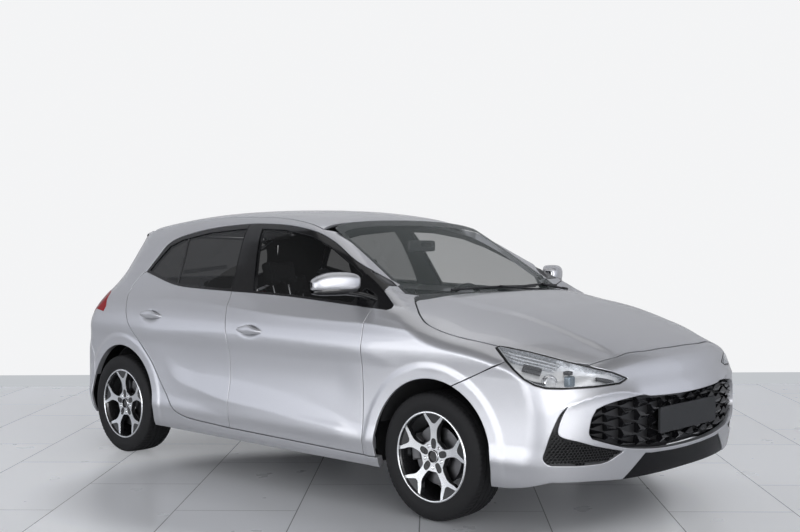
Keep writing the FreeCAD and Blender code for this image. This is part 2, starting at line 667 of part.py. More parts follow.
cowl_half = bonnet_arm_y - 12
cowl = box(firewall_x, bonnet_rear_x - shut_gap - 2, -cowl_half, cowl_half, 960, cowl_z - 2.5)
cowl = cowl.fuse(box(bonnet_rear_x - 20, bonnet_rear_x + 50, -60, 60, 960, cowl_z - 2.5))
blades = []
for y0, y1 in ((600, 20), (-10, -590)):
    a = (screen(y0, cowl_z - 5) + 14, y0, 1016)
    b = (screen(y1, 1040) + 24, y1, 1040)
    blades += [rod(a, b, 6), Part.makeCylinder(8, a[2] - 990, V(a[0], a[1], 990))]
save("cowl_and_wipers", fuse(cowl, *blades))
print("front done")

# mirrors on the front doors
foot_z = 996
foot_y = read(side_line, foot_z) - 14
cap = Part.makeSphere(1.0)
m = FreeCAD.Matrix()
m.scale(82, 118, 66)
cap = cap.transformGeometry(m)
cap.translate(V(618, 925, 1100))
cap = cap.common(box(560, 700, 820, 1040, 1040, 1162))
foot = rod((700, foot_y, foot_z), (640, 880, 1080), 17)
mirror_left = fuse(cap, foot).cut(left_side(lambda z: -pin_seat, 60))
mirror_left = max(mirror_left.Solids, key=lambda s: s.Volume)
save("mirror_left", mirror_left)
save("mirror_right", mirrored(mirror_left))


# wheels, each about its own axle line at y = 0 with +y outboard
def revolve(points):
    wire = Part.makePolygon([V(0, y, r) for y, r in points + [points[0]]])
    return Part.Face(wire).revolve(V(0, 0, 0), V(0, 1, 0), 360)


bead_r = 206.0
flange_y = rim_w / 2
rim_profile = [(-flange_y, rim_r), (-flange_y, barrel_r), (flange_y, barrel_r),
               (flange_y, rim_r), (flange_y - 4, rim_r), (flange_y - 4, bead_r),
               (-flange_y + 4, bead_r), (-flange_y + 4, rim_r)]
bead_y = flange_y - 4.3
tyre_half = tyre_w / 2
tyre_outer = [(-bead_y, bead_r + 0.3), (-bead_y, rim_r + 2), (-tyre_half + 4, rim_r + 18),
              (-tyre_half, tyre_r - 42), (-tyre_half + 6, tyre_r - 14), (-tyre_half + 22, tyre_r)]
tyre_inner = [(tyre_half - 28, bead_r + 0.3), (tyre_half - 18, rim_r + 20),
              (tyre_half - 14, tyre_r - 42), (tyre_half - 36, tyre_r - 14)]
tyre_profile = (tyre_outer + [(-y, r) for y, r in reversed(tyre_outer)] + tyre_inner
                + [(-y, r) for y, r in reversed(tyre_inner)])
face_y = flange_y - 8
hub_face_y = 40.0
hub_r = 75.0


def wheel_rim():
    barrel = revolve(rim_profile)
    hub = Part.makeCylinder(hub_r, 40, V(0, hub_face_y - 6, 0), V(0, 1, 0))
    spokes = []
    for k in range(5):
        a = math.radians(90 + 72 * k)
        for side in (-1, 1):
            fork = a + side * math.radians(13)
            inner = (48 * math.cos(a), 48 * math.sin(a))
            outer = ((barrel_r + 3) * math.cos(fork), (barrel_r + 3) * math.sin(fork))
            dx, dz = outer[0] - inner[0], outer[1] - inner[1]
            n = math.hypot(dx, dz)
            px, pz = -dz / n * spoke_w / 4, dx / n * spoke_w / 4
            pts = [V(inner[0] + px, 0, inner[1] + pz), V(outer[0] + px, 0, outer[1] + pz),
                   V(outer[0] - px, 0, outer[1] - pz), V(inner[0] - px, 0, inner[1] - pz)]
            bar = Part.Face(Part.makePolygon(pts + [pts[0]])).extrude(V(0, spoke_t, 0))
            bar.translate(V(0, face_y - spoke_t, 0))
            spokes.append(bar)
    disc = Part.makeCylinder(disc_r, disc_t, V(0, 8, 0), V(0, 1, 0))
    bell = Part.makeCylinder(hub_r, hub_face_y - 8, V(0, 8, 0), V(0, 1, 0))
    rim = barrel.multiFuse([hub, disc, bell] + spokes)
    bore = Part.makeCylinder(centre_bore_r, 60, V(0, -10, 0), V(0, 1, 0))
    rim = rim.cut(bore)
    for k in range(stud_count):
        a = math.radians(90 + 36 + 72 * k)
        c = V(stud_pcd / 2 * math.cos(a), -20, stud_pcd / 2 * math.sin(a))
        rim = rim.cut(Part.makeCylinder(stud_hole_r, 200, c, V(0, 1, 0)))
    return rim.removeSplitter()


rim = wheel_rim()
tyre = revolve(tyre_profile)
corners = [("front_left", front_axle_x, 1), ("front_right", front_axle_x, -1),
           ("rear_left", rear_axle_x, 1), ("rear_right", rear_axle_x, -1)]
for key, x, sign in corners:
    for name, shape in (("rim_", rim), ("tyre_", tyre)):
        s = shape.copy() if sign > 0 else mirrored(shape)
        s.translate(V(x, sign * track_y, hub_z))
        save(name + key, s)

# knuckles: stub axle in the rim's bore, hub carrier, caliper and steering arm
stub_r = centre_bore_r - 1.0


def knuckle():
    x, y, z = front_axle_x, track_y, hub_z
    stub = Part.makeCylinder(stub_r, 78, V(x, y - 36, z), V(0, 1, 0))
    carrier = Part.makeCylinder(62, 34, V(x, y - 40, z), V(0, 1, 0))
    post = Part.makeCylinder(17, z - 198.3, V(x, kingpin_y, 198.3))
    arm = box(x - 150, x, kingpin_y - 20, kingpin_y - 2, z - 60, z - 36)
    pad_back = box(x + 78, x + 134, y - 36, y - 4, z - 70, z + 70)
    pad_link = box(x, x + 110, y - 40, y - 22, z - 30, z + 30)
    return fuse(carrier, stub, post, arm, pad_link, pad_back)


k = knuckle()
save("knuckle_left", k)
save("knuckle_right", mirrored(k))

# front subframe with its arms and struts
sub = box(front_axle_x - 230, front_axle_x + 70, -360, 360, 180, 250)
arms = fuse(box(front_axle_x - 26, front_axle_x + 26, 340, kingpin_y + 16, 178, 198),
            rod((front_axle_x - 200, 340, 200), (front_axle_x, 660, 188), 14))
strut_line = ((front_axle_x, 606, 430), (front_axle_x, 582, 676))
strut = fuse(rod(*strut_line, 24), rod((front_axle_x, 593, 560), (front_axle_x, 583, 670), 50),
             box(front_axle_x - 16, front_axle_x + 16, 560, 640, 400, 450),
             box(front_axle_x - 16, front_axle_x + 16, 560, 585, 190, 450))
leg_x = engine_x - pin_seat
legs = fuse(box(leg_x - 56, leg_x, 300, 360, 240, 420),
            box(leg_x - 56, leg_x, 300, 429.7, 395, 425))
save("front_suspension", fuse(sub, *both(arms), *both(strut), *both(legs)))

# rear twist beam with trailing arms, stub axles, springs and dampers
beam = rod((rear_axle_x + 180, -560, 270), (rear_axle_x + 180, 560, 270), 36)
trail = fuse(box(rear_axle_x - 40, rear_axle_x + 320, 550, 590, 272, 318),
             rod((rear_axle_x, 580, hub_z), (rear_axle_x, track_y - 34, hub_z), 40),
             rod((rear_axle_x, track_y - 44, hub_z), (rear_axle_x, track_y + 42, hub_z), stub_r),
             rod((rear_axle_x + 320, 530, 295), (rear_axle_x + 320, 610, 295), 32),
             box(rear_axle_x + 10, rear_axle_x + 90, 440, 560, 280, 292),
             rod((rear_axle_x + 50, 486, 285), (rear_axle_x + 50, 486, boot_floor_z - 0.3), 42))
save("rear_axle", beam.multiFuse(both(trail)))

# exhaust, tank and arch liners
pipe_line = [(1075, -150, 305.7), (940, -150, 302), (800, -150, 180), (-1030, -150, 180),
             (-1510, -330, 255)]
pipe = fuse(soft_box(-1930, -1500, -470, -200, 200, 330, 30),
            rod((-1920, -420, 240), (-1945, -420, 240), 24),
            *[rod(a, b, 24) for a, b in zip(pipe_line, pipe_line[1:])],
            *[Part.makeSphere(24, V(*p)) for p in pipe_line[1:-1]])
save("exhaust", pipe)
save("fuel_tank", soft_box(-900, -420, -90, 560, 110 + 60, floor_z - 0.3, 14))


def liner(c, x0, x1, z0):
    shell = ring(c[0], c[1], arch_r + 2, arch_r + 2 + liner_t, 500, 850)
    shell = shell.common(box(x0, x1, 400, 900, z0, 900))
    return shell


front_liner = liner(arch_front, 862, 1520, 330).cut(fender).cut(tower).cut(rails)
front_liner = front_liner.cut(Part.makeCylinder(66, 200, V(front_axle_x, 588, 600)))
front_liner = max(front_liner.Solids, key=lambda s: s.Volume)
save("arch_liners", *both(front_liner))

# engine as one plain block
save("engine_block", box(engine_x, 1500, -400, 400, 330, 800))

# dashboard, seats and steering wheel
dash = box(470, firewall_x - 0.3, -800, 800, 690, 960).common(inside_sides(lambda z: door_low_t + 8))
dash = dash.fuse(box(200, 480, -110, 110, floor_z + floor_t + 0.3, 700))
axis = V(-math.cos(math.radians(steer_tilt)), 0, math.sin(math.radians(steer_tilt)))
centre = V(steer_x, steer_y, steer_z)
column = rod(tuple(centre - axis * 45.3), tuple(centre - axis * 200), 28)
save("dashboard", fuse(dash, column))

sw = Part.makeTorus(wheel_rim_r, wheel_rim_tube, centre, axis)
boss = Part.makeCylinder(60, 52, centre - axis * 45, axis)
up = V(axis.z, 0, -axis.x)
arms = [rod(tuple(centre), (steer_x, steer_y + wheel_rim_r, steer_z), 13),
        rod(tuple(centre), (steer_x, steer_y - wheel_rim_r, steer_z), 13),
        rod(tuple(centre), tuple(centre - up * wheel_rim_r), 13)]
save("steering_wheel", sw.multiFuse([boss] + arms).removeSplitter())


def seat(x, y, w, depth, high):
    pad = soft_box(x, x + depth, y - w / 2, y + w / 2, 330, 480, 45)
    back = soft_box(-60, 60, y - w / 2, y + w / 2, 0, high, 40)
    back.rotate(V(0, 0, 0), V(0, 1, 0), -16)
    back.translate(V(x + 10, 0, 400))
    rail = box(x + 60, x + depth - 60, y - w / 2 + 60, y + w / 2 - 60, floor_z + floor_t + 0.3, 360)
    return pad.multiFuse([back, rail]).removeSplitter()


def rest(x, y, z):
    head = soft_box(-45, 45, y - 125, y + 125, 0, 170, 35)
    head.rotate(V(0, 0, 0), V(0, 1, 0), -16)
    head.translate(V(x, 0, z))
    return head


front_seats = []
for y in (-seat_y, seat_y):
    s = seat(-260, y, seat_w, 500, 600)
    posts = [rod((-420, y + d, 960), (-450, y + d, 1080), 6) for d in (-60, 60)]
    front_seats.append(s.multiFuse([rest(-432, y, 1040)] + posts).removeSplitter())
save("seats_front", *front_seats)
bench = soft_box(-1000, -540, -600, 600, 320, 480, 45)
back = soft_box(-60, 60, -600, 600, 0, 560, 45)
back.rotate(V(0, 0, 0), V(0, 1, 0), -18)
back.translate(V(-900, 0, 420))
foot = box(-960, -600, -500, 500, floor_z + floor_t + 0.3, 340)
heads = []
for y in (-330, 330):
    heads.append(rest(-1090, y, 930))
save("seat_rear", bench.multiFuse([back, foot] + heads).removeSplitter())
print("all", len(nodes))
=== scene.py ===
import bpy
import math
import numpy as np
from mathutils import Matrix, Vector
from mathutils.geometry import delaunay_2d_cdt


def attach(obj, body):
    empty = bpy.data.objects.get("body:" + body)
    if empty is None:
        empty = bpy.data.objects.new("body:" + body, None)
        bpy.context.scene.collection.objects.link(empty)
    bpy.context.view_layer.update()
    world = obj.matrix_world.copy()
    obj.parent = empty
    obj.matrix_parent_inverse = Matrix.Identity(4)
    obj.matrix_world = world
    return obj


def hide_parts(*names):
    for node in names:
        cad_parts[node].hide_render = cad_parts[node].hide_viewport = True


for spare in ("Cube", "Light", "Camera"):    # the start-up scene's own
    if spare in bpy.data.objects:
        bpy.data.objects.remove(bpy.data.objects[spare])
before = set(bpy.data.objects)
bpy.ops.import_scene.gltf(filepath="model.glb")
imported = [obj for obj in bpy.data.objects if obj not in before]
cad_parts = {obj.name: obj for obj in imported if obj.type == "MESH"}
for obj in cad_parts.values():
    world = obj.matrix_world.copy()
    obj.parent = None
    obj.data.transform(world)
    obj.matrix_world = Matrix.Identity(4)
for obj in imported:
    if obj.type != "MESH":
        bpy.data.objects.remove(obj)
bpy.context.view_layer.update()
print("frame loaded")

# Lengths below are millimetres, as in the part's source; meshes are made in metres.
# +X forward, +Y left, +Z up, ground at z = 0.

car = {
    "noseX": 2056.5,
    "tailX": -2056.5,
    "frontAxleX": 1188.5,
    "rearAxleX": -1381.5,
    "hubZ": 304.0,
    "trackY": 765.0,
    "archR": 355.0,
    "archShift": 10.0,
    "flareR": 422.0,
    "flareOut": 6.5,
    "step": 15.0,       # spacing of a panel's inner points
    "edgeStep": 8.0,    # spacing of the points along a shut line
    "gap": 2.0,         # half of a shut gap
    "edgeR": 2.2,       # radius of a folded panel edge
    "fold": 13.0,       # how deep a panel edge turns in
}
noseX = car["noseX"]
tailX = car["tailX"]
archFront = (car["frontAxleX"] + car["archShift"], car["hubZ"] + 12)
archRear = (car["rearAxleX"] + car["archShift"], car["hubZ"] + 12)

# heights and half widths of the body, front to back and bottom to top
noseLine = [(150, noseX - 80), (200, noseX - 52), (260, noseX - 28), (350, noseX - 14),
            (440, noseX), (555, noseX), (640, noseX - 14), (700, noseX - 32),
            (760, noseX - 50), (815, noseX - 76), (900, noseX - 140), (1100, noseX - 330)]
tailLine = [(150, tailX + 90), (200, tailX + 60), (260, tailX + 26), (350, tailX + 10),
            (500, tailX), (620, tailX + 2), (700, tailX + 24), (800, tailX + 40),
            (900, tailX + 62), (985, tailX + 92), (1040, tailX + 128), (1100, tailX + 166),
            (1200, tailX + 230), (1300, tailX + 292), (1380, tailX + 342), (1560, tailX + 450)]
sideLine = [(150, 836), (200, 850), (240, 868), (300, 879), (345, 885), (420, 876), (560, 870),
            (700, 875), (790, 885), (850, 879), (900, 865), (945, 846), (1000, 817),
            (1034, 801), (1100, 774), (1200, 731), (1300, 685), (1400, 634), (1460, 600),
            (1560, 540)]
roofLine = [(-2200, 1250), (-1662, 1398), (-1412, 1440), (-1112, 1476), (-812, 1497),
            (-562, 1502), (-312, 1498), (-112, 1487), (88, 1462), (223, 1432), (600, 1330)]
roofDrop = [(0, 0), (200, 4), (400, 17), (500, 31), (560, 46), (600, 62), (640, 88), (700, 140),
            (900, 340)]
screenLine = [(880, 1170), (1000, 974), (1031, 920), (1130, 757), (1230, 589), (1330, 414),
              (1432, 227), (1500, 98), (1600, -95)]
bonnetLine = [(700, 1090), (860, 1060), (983, 1046), (1150, 1026), (1275, 1003), (1400, 982),
              (1500, 960), (1632, 922), (1750, 885), (1868, 848), (1974, 812), (2050, 772),
              (2150, 710)]
bonnetSide = [(700, 50), (938, 60), (1080, 98), (1188, 118), (1530, 120), (1680, 128),
              (1878, 200), (1990, 230), (2150, 250)]


# character lines: heights along x on the side, distances from the middle on the bonnet,
# and heights along |y| on the nose
shoulderCrease = [(-1180, 958), (-1011, 968), (-858, 974), (-323, 953), (70, 928), (517, 915),
                  (776, 911), (984, 898), (1154, 883), (1317, 860), (1450, 835)]
bulgeLine = [(-1207, 750), (-727, 794), (-281, 812), (316, 798), (774, 771), (982, 726)]
spearLine = [(700, 968), (838, 949), (973, 929), (1100, 908), (1200, 890)]
flareTop = [(-949, 720), (-833, 620), (-627, 556), (-467, 553), (-295, 547), (135, 512),
            (512, 452), (668, 415), (760, 400)]
flareEdge = [(-949, 668), (-833, 528), (-563, 466), (-307, 428), (55, 409), (687, 369), (760, 365)]
sillCrease = [(-1000, 385), (-763, 388), (-553, 376), (-280, 340), (59, 316), (680, 286),
              (760, 283)]
bonnetStepIn = [(900, 500), (1031, 484), (1287, 456), (1532, 459), (1687, 444), (1900, 415)]
bonnetStepOut = [(900, 545), (1195, 534), (1426, 500), (1662, 489), (1900, 470)]
cupSpots = [(-100, 826), (-1045, 868)]    # hand cups behind the door handles
noseCrease = [(330, 616), (364, 621), (485, 645), (622, 635), (746, 599), (800, 575)]


# Hermite curve through a table's points, straight beyond its ends.
def read(table, t):
    t = np.asarray(t, float)
    xs = np.array([p[0] for p in table], float)
    ys = np.array([p[1] for p in table], float)
    d = np.diff(ys) / np.diff(xs)
    slope = np.empty(len(xs))
    slope[0] = d[0]
    slope[-1] = d[-1]
    slope[1:-1] = (ys[2:] - ys[:-2]) / (xs[2:] - xs[:-2])
    i = np.clip(np.searchsorted(xs, t) - 1, 0, len(xs) - 2)
    h = xs[i + 1] - xs[i]
    s = (t - xs[i]) / h
    inside = ((2 * s ** 3 - 3 * s ** 2 + 1) * ys[i] + (s ** 3 - 2 * s ** 2 + s) * h * slope[i]
              + (3 * s ** 2 - 2 * s ** 3) * ys[i + 1] + (s ** 3 - s ** 2) * h * slope[i + 1])
    out = (t < xs[0]) | (t > xs[-1])
    return np.where(out, ys[i] + d[i] * (t - xs[i]), inside)


def smooth(a, b, t):
    s = np.clip((t - a) / (b - a), 0, 1)
    return s * s * (3 - 2 * s)


# Raised line: high * exp(-(sqrt(d^2 + round^2) - round) / reach).
def ridge(d, high, reach, round):
    return high * np.exp(-(np.hypot(d, round) - round) / reach)


# Bend from flat to slope one over a rounded edge: (d + sqrt(d^2 + round^2)) / 2.
def bend(d, round):
    return (d + np.hypot(d, round)) / 2


# 1 between the inner two values, falling to 0 at the outer two.
def span(x, a0, a1, b0, b1):
    return smooth(a0, a1, x) * (1 - smooth(b1, b0, x))


# Half width of the body: the side table, narrower towards both ends, plus the flares,
# the raised character lines, and the flared facet low on the doors.
def sideY(x, z):
    y = read(sideLine, z)
    y = y - np.where(x > 500, 26 * ((x - 500) / 1300) ** 2, 0)
    y = y - np.where(x < -700, 14 * ((-700 - x) / 700) ** 2, 0)
    for cx, cz in (archFront, archRear):
        r = np.hypot(x - cx, z - cz)
        lift = 1 - smooth(car["flareR"] - 20, car["flareR"] + 18, r)
        y = y + car["flareOut"] * lift * smooth(150, 300, z)
    y = y + ridge(z - read(shoulderCrease, x), 5.5, 28, 2.5) * span(x, -1230, -980, 1480, 1300)
    y = y + ridge(z - read(bulgeLine, x), 3.5, 60, 14) * span(x, -1300, -1000, 1100, 850)
    y = y + ridge(z - read(spearLine, x), 2.0, 12, 1.2) * span(x, 760, 850, 1180, 1060)
    top, edge, low = read(flareTop, x), read(flareEdge, x), read(sillCrease, x)
    turn = 0.115
    back = turn * (top - edge) / np.maximum(edge - low, 40)
    flare = (turn * bend(top - z, 9) - (turn + back) * bend(edge - z, 5)
             + back * bend(low - z, 9))
    for cx, cz in cupSpots:
        y = y - 13 * np.exp(-(((x - cx) / 66) ** 2 + ((z - cz) / 27) ** 2) ** 1.5)
    door = span(x, -980, -620, 756, 560)
    return y + door * (flare - 6 * np.exp(-((z - 620) / 105) ** 2))


def corner(y, wide, deep, power):
    t = np.minimum(np.abs(y) / wide, 0.999)
    return deep * (1 - (1 - t ** power) ** (1 / power))


def noseAt(y, z):
    line = ridge(z - read(noseCrease, np.abs(y)), 8, 24, 2.5) * span(np.abs(y), 330, 420, 800, 740)
    return read(noseLine, z) - corner(y, read(sideLine, np.minimum(z, 880)) + 50, 620, 2.6) + line


def tailAt(y, z):
    high = smooth(780, 1150, z)
    wide = read(sideLine, z) + 42 - 40 * high
    return read(tailLine, z) + corner(y, wide, (0.66 + 0.1 * high) * wide, 2.7 - 0.6 * high)


def roofAt(x, y):
    return read(roofLine, x) - read(roofDrop, np.abs(y))


def screenAt(y, z):
    pillar = 55 * smooth(640, 780, np.abs(y))
    return read(screenLine, z) - 60 * (y / 700) ** 2 + pillar


def bonnetAt(x, y):
    drop = smooth(read(bonnetStepIn, x), read(bonnetStepOut, x), np.abs(y))
    rise = 11 * (1 - drop) * span(x, 960, 1100, 1980, 1800)
    return read(bonnetLine, x) - read(bonnetSide, x) * (np.abs(y) / 800) ** 3.2 + rise


# The larger of two distances, with the edge between them rounded to radius r.
def roundMax(a, b, r):
    return np.minimum(np.maximum(a, b), -r) + np.hypot(np.maximum(a + r, 0), np.maximum(b + r, 0))


# Distance from the outer body, below 0 inside: side, roof and tail behind the cowl,
# side, bonnet and nose ahead of it.
def cabin(p):
    x, y, z = p[:, 0], p[:, 1], p[:, 2]
    side = (np.abs(y) - sideY(x, z)) * 0.95
    f = roundMax(side, z - roofAt(x, y), 70)
    f = roundMax(f, (x - screenAt(y, z)) / 1.9, 30)
    return roundMax(f, (tailAt(y, z) - x) * 0.9, 26)


def frontEnd(p):
    x, y, z = p[:, 0], p[:, 1], p[:, 2]
    side = (np.abs(y) - sideY(x, z)) * 0.95
    f = roundMax(side, z - bonnetAt(x, y), 34)
    return roundMax(f, x - noseAt(y, z), 30)


def body(p):
    return np.minimum(cabin(p), frontEnd(p) + np.maximum(600 - p[:, 0], 0))


# Point on a surface along each ray, by halving between an inner and an outer distance.
def along(field, origin, way, near, far):
    a = np.full(len(origin), float(near))
    b = np.full(len(origin), float(far))
    for _ in range(24):
        m = (a + b) / 2
        inside = field(origin + way * m[:, None]) < 0
        a = np.where(inside, m, a)
        b = np.where(inside, b, m)
    return origin + way * ((a + b) / 2)[:, None]


def normalOf(field, p):
    h = 0.6
    g = np.stack([field(p + np.array(d) * h) - field(p - np.array(d) * h)
                  for d in ((1, 0, 0), (0, 1, 0), (0, 0, 1))], axis=1)
    return g / np.linalg.norm(g, axis=1)[:, None]


# Ways to lay two parameters over the body. Each has its field, toUv and rays.
#   belt: x and the angle about a line along x, for the sides and the roof
#   plan: x and y, straight up, for the bonnet
#   face and back: y and z, along x
#   wrap and rearWrap: the angle about an upright line, and z, for the bumpers
arcUnit = 860        # millimetres that stand for one radian
beltZ = 800
wrapX, rearWrapX = 1150, -1200


def castRays(uv, start, way, near, far):
    zero = np.zeros(len(uv))
    return (np.stack([zero + v for v in start], 1), np.stack([zero + v for v in way], 1),
            near, far)


def beltRays(uv):
    a = uv[:, 1] / arcUnit
    return castRays(uv, (uv[:, 0], 0, beltZ), (0, np.cos(a), np.sin(a)), 60, 1100)


def beltUv(p):
    return np.stack([p[:, 0], arcUnit * np.arctan2(p[:, 2] - beltZ, p[:, 1])], 1)


def planRays(uv):
    return castRays(uv, (uv[:, 0], uv[:, 1], 500), (0, 0, 1), 0, 900)


def planUv(p):
    return p[:, :2].copy()


def faceRays(uv):
    return castRays(uv, (1000, uv[:, 0], uv[:, 1]), (1, 0, 0), 0, 1150)


def faceUv(p):
    return p[:, 1:].copy()


def backRays(uv):
    return castRays(uv, (-1000, uv[:, 0], uv[:, 1]), (-1, 0, 0), 0, 1150)


def wrapRays(uv):
    a = uv[:, 0] / arcUnit
    return castRays(uv, (wrapX, 0, uv[:, 1]), (np.cos(a), np.sin(a), 0), 0, 1200)


def wrapUv(p):
    return np.stack([arcUnit * np.arctan2(p[:, 1], p[:, 0] - wrapX), p[:, 2]], 1)


def rearWrapRays(uv):
    a = uv[:, 0] / arcUnit
    return castRays(uv, (rearWrapX, 0, uv[:, 1]), (-np.cos(a), np.sin(a), 0), 0, 1200)


def rearWrapUv(p):
    return np.stack([arcUnit * np.arctan2(p[:, 1], rearWrapX - p[:, 0]), p[:, 2]], 1)


layouts = {
    "bodyBelt": (body, beltUv, beltRays),
    "belt": (cabin, beltUv, beltRays),
    "plan": (frontEnd, planUv, planRays),
    "face": (frontEnd, faceUv, faceRays),
    "back": (cabin, faceUv, backRays),
    "wrap": (frontEnd, wrapUv, wrapRays),
    "rearWrap": (cabin, rearWrapUv, rearWrapRays),
}


def onSurface(layout, uv):
    field, _, rays = layouts[layout]
    origin, way, near, far = rays(np.asarray(uv, float))
    return along(field, origin, way, near, far)


# (x, z) seen from the side, (x, y) from above or (y, z) from an end, put on the body.
def fromSide(points, field=cabin):
    q = np.asarray(points, float)
    zero = np.zeros(len(q))
    origin = np.stack([q[:, 0], zero, q[:, 1]], 1)
    return along(field, origin, np.stack([zero, zero + 1, zero], 1), 0, 1000)


def fromTop(points):
    return onSurface("plan", points)


def fromFront(points):
    return onSurface("face", points)


def fromBack(points):
    return onSurface("back", points)


# Evenly spaced points along a line; curved ones follow a smooth spline through theirs.
def spaced(points, step, curved=False):
    q = np.asarray(points, float)
    d = np.concatenate([[0], np.cumsum(np.linalg.norm(np.diff(q, axis=0), axis=1))])
    n = max(2, int(math.ceil(d[-1] / step)) + 1)
    t = np.linspace(0, d[-1], n)
    if not curved or len(q) < 3:
        return np.stack([np.interp(t, d, q[:, k]) for k in range(q.shape[1])], 1)
    return np.stack([read(list(zip(d, q[:, k])), t) for k in range(q.shape[1])], 1)


def inPolygon(p, loop):
    a = loop
    b = np.roll(loop, -1, axis=0)
    hit = np.zeros(len(p), bool)
    for i in range(0, len(p), 4000):
        q = p[i:i + 4000]
        above = (a[None, :, 1] > q[:, None, 1]) != (b[None, :, 1] > q[:, None, 1])
        with np.errstate(divide="ignore", invalid="ignore"):
            x = (b[None, :, 0] - a[None, :, 0]) * (q[:, None, 1] - a[None, :, 1]) \
                / (b[None, :, 1] - a[None, :, 1]) + a[None, :, 0]
        hit[i:i + 4000] = (np.sum(above & (q[:, None, 0] < x), axis=1) % 2) == 1
    return hit


def signedArea(loop):
    b = np.roll(loop, -1, axis=0)
    return 0.5 * np.sum(loop[:, 0] * b[:, 1] - b[:, 0] * loop[:, 1])


# Outward direction of a closed loop at each point (area on its left).
def outward(loop):
    before = loop - np.roll(loop, 1, axis=0)
    after = np.roll(loop, -1, axis=0) - loop
    na = before / np.maximum(np.linalg.norm(before, axis=1), 1e-9)[:, None]
    nb = after / np.maximum(np.linalg.norm(after, axis=1), 1e-9)[:, None]
    t = na + nb
    bad = np.linalg.norm(t, axis=1) < 1e-6
    t[bad] = nb[bad]
    t = t / np.linalg.norm(t, axis=1)[:, None]
    out = np.stack([t[:, 1], -t[:, 0]], 1)
    mitre = np.clip(np.sum(out * np.stack([nb[:, 1], -nb[:, 0]], 1), axis=1), 0.5, 1)
    return out / mitre[:, None]


# Joins bits into arrays, welding points that round to the same twentieth of a millimetre.
def welded(bits):
    allP, allF, allN, base = [], [], [], 0
    for p, f, n in bits:
        allP.append(p)
        allN.append(n)
        allF.append(np.asarray(f) + base)
        base += len(p)
    p = np.concatenate(allP)
    n = np.concatenate(allN)
    key = np.round(p * 20).astype(np.int64)
    _, first, back = np.unique(key, axis=0, return_index=True, return_inverse=True)
    back = back.reshape(-1)
    faces = [back[f] for f in allF]
    return p[first], faces, n[first]


def buildMesh(name, points, faceSets, normals=None):
    mesh = bpy.data.meshes.new(name)
    sizes = []
    loops = []
    for f in faceSets:
        f = np.asarray(f)
        if not len(f):
            continue
        good = np.ones(len(f), bool)
        for k in range(f.shape[1]):
            good &= f[:, k] != f[:, (k + 1) % f.shape[1]]
        f = f[good]
        loops.append(f.reshape(-1))
        sizes.append(np.full(len(f), f.shape[1]))
    loops = np.concatenate(loops)
    sizes = np.concatenate(sizes)
    starts = np.concatenate([[0], np.cumsum(sizes)[:-1]])
    mesh.vertices.add(len(points))
    mesh.vertices.foreach_set("co", (points / 1000).astype(np.float32).reshape(-1))
    mesh.loops.add(len(loops))
    mesh.loops.foreach_set("vertex_index", loops.astype(np.int32))
    mesh.polygons.add(len(sizes))
    mesh.polygons.foreach_set("loop_start", starts.astype(np.int32))
    mesh.polygons.foreach_set("loop_total", sizes.astype(np.int32))
    mesh.polygons.foreach_set("use_smooth", np.ones(len(sizes), bool))
    mesh.update(calc_edges=True)
    mesh.validate()
    if normals is not None and len(mesh.polygons) == len(sizes):
        mesh.normals_split_custom_set_from_vertices(normals.tolist())
    return mesh


def piece(name, mesh, material, body, replaces=()):
    ob = bpy.data.objects.new(name, mesh)
    bpy.context.scene.collection.objects.link(ob)
    mesh.materials.append(material)
    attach(ob, body)
    if replaces:
        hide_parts(*replaces)
    return ob


mirrorY = np.array([1.0, -1.0, 1.0])


def flipped(points, faceSets, normals):
    return points * mirrorY, [f[:, ::-1] for f in faceSets], normals * mirrorY


# One piece, or where mirror is set a left one and its mirror image on the right.
def pieceOrPair(name, shape, material, bodies, replaces=(), mirror=True):
    if not mirror:
        piece(name, buildMesh(name, *shape), material, bodies, replaces)
        return
    for k, hand in enumerate(("Left", "Right")):
        mesh = buildMesh(name + hand, *(flipped(*shape) if k else shape))
        piece(name + hand, mesh, material, bodies[k], replaces[k] if replaces else ())


def setPiece(name, bits, material, body, replaces=()):
    pieceOrPair(name, welded(bits), material, body, replaces, False)


def bothSides(name, bits, material, bodies=("car", "car"), replaces=()):
    pieceOrPair(name, welded(bits), material, bodies, replaces)


def mirrorRun(points):
    return points[::-1] * mirrorY


def flipY(points):
    return np.asarray(points, float) * mirrorY


# Runs of one half, followed by their mirror images in the opposite order.
def both(runs):
    return runs + [(mirrorRun(q), c, k) for q, c, k in runs[::-1]]


# Signed power, sign(t) * |t|^k, which squares a circle off or pinches it.
def squared(t, k):
    return np.sign(t) * np.abs(t) ** k


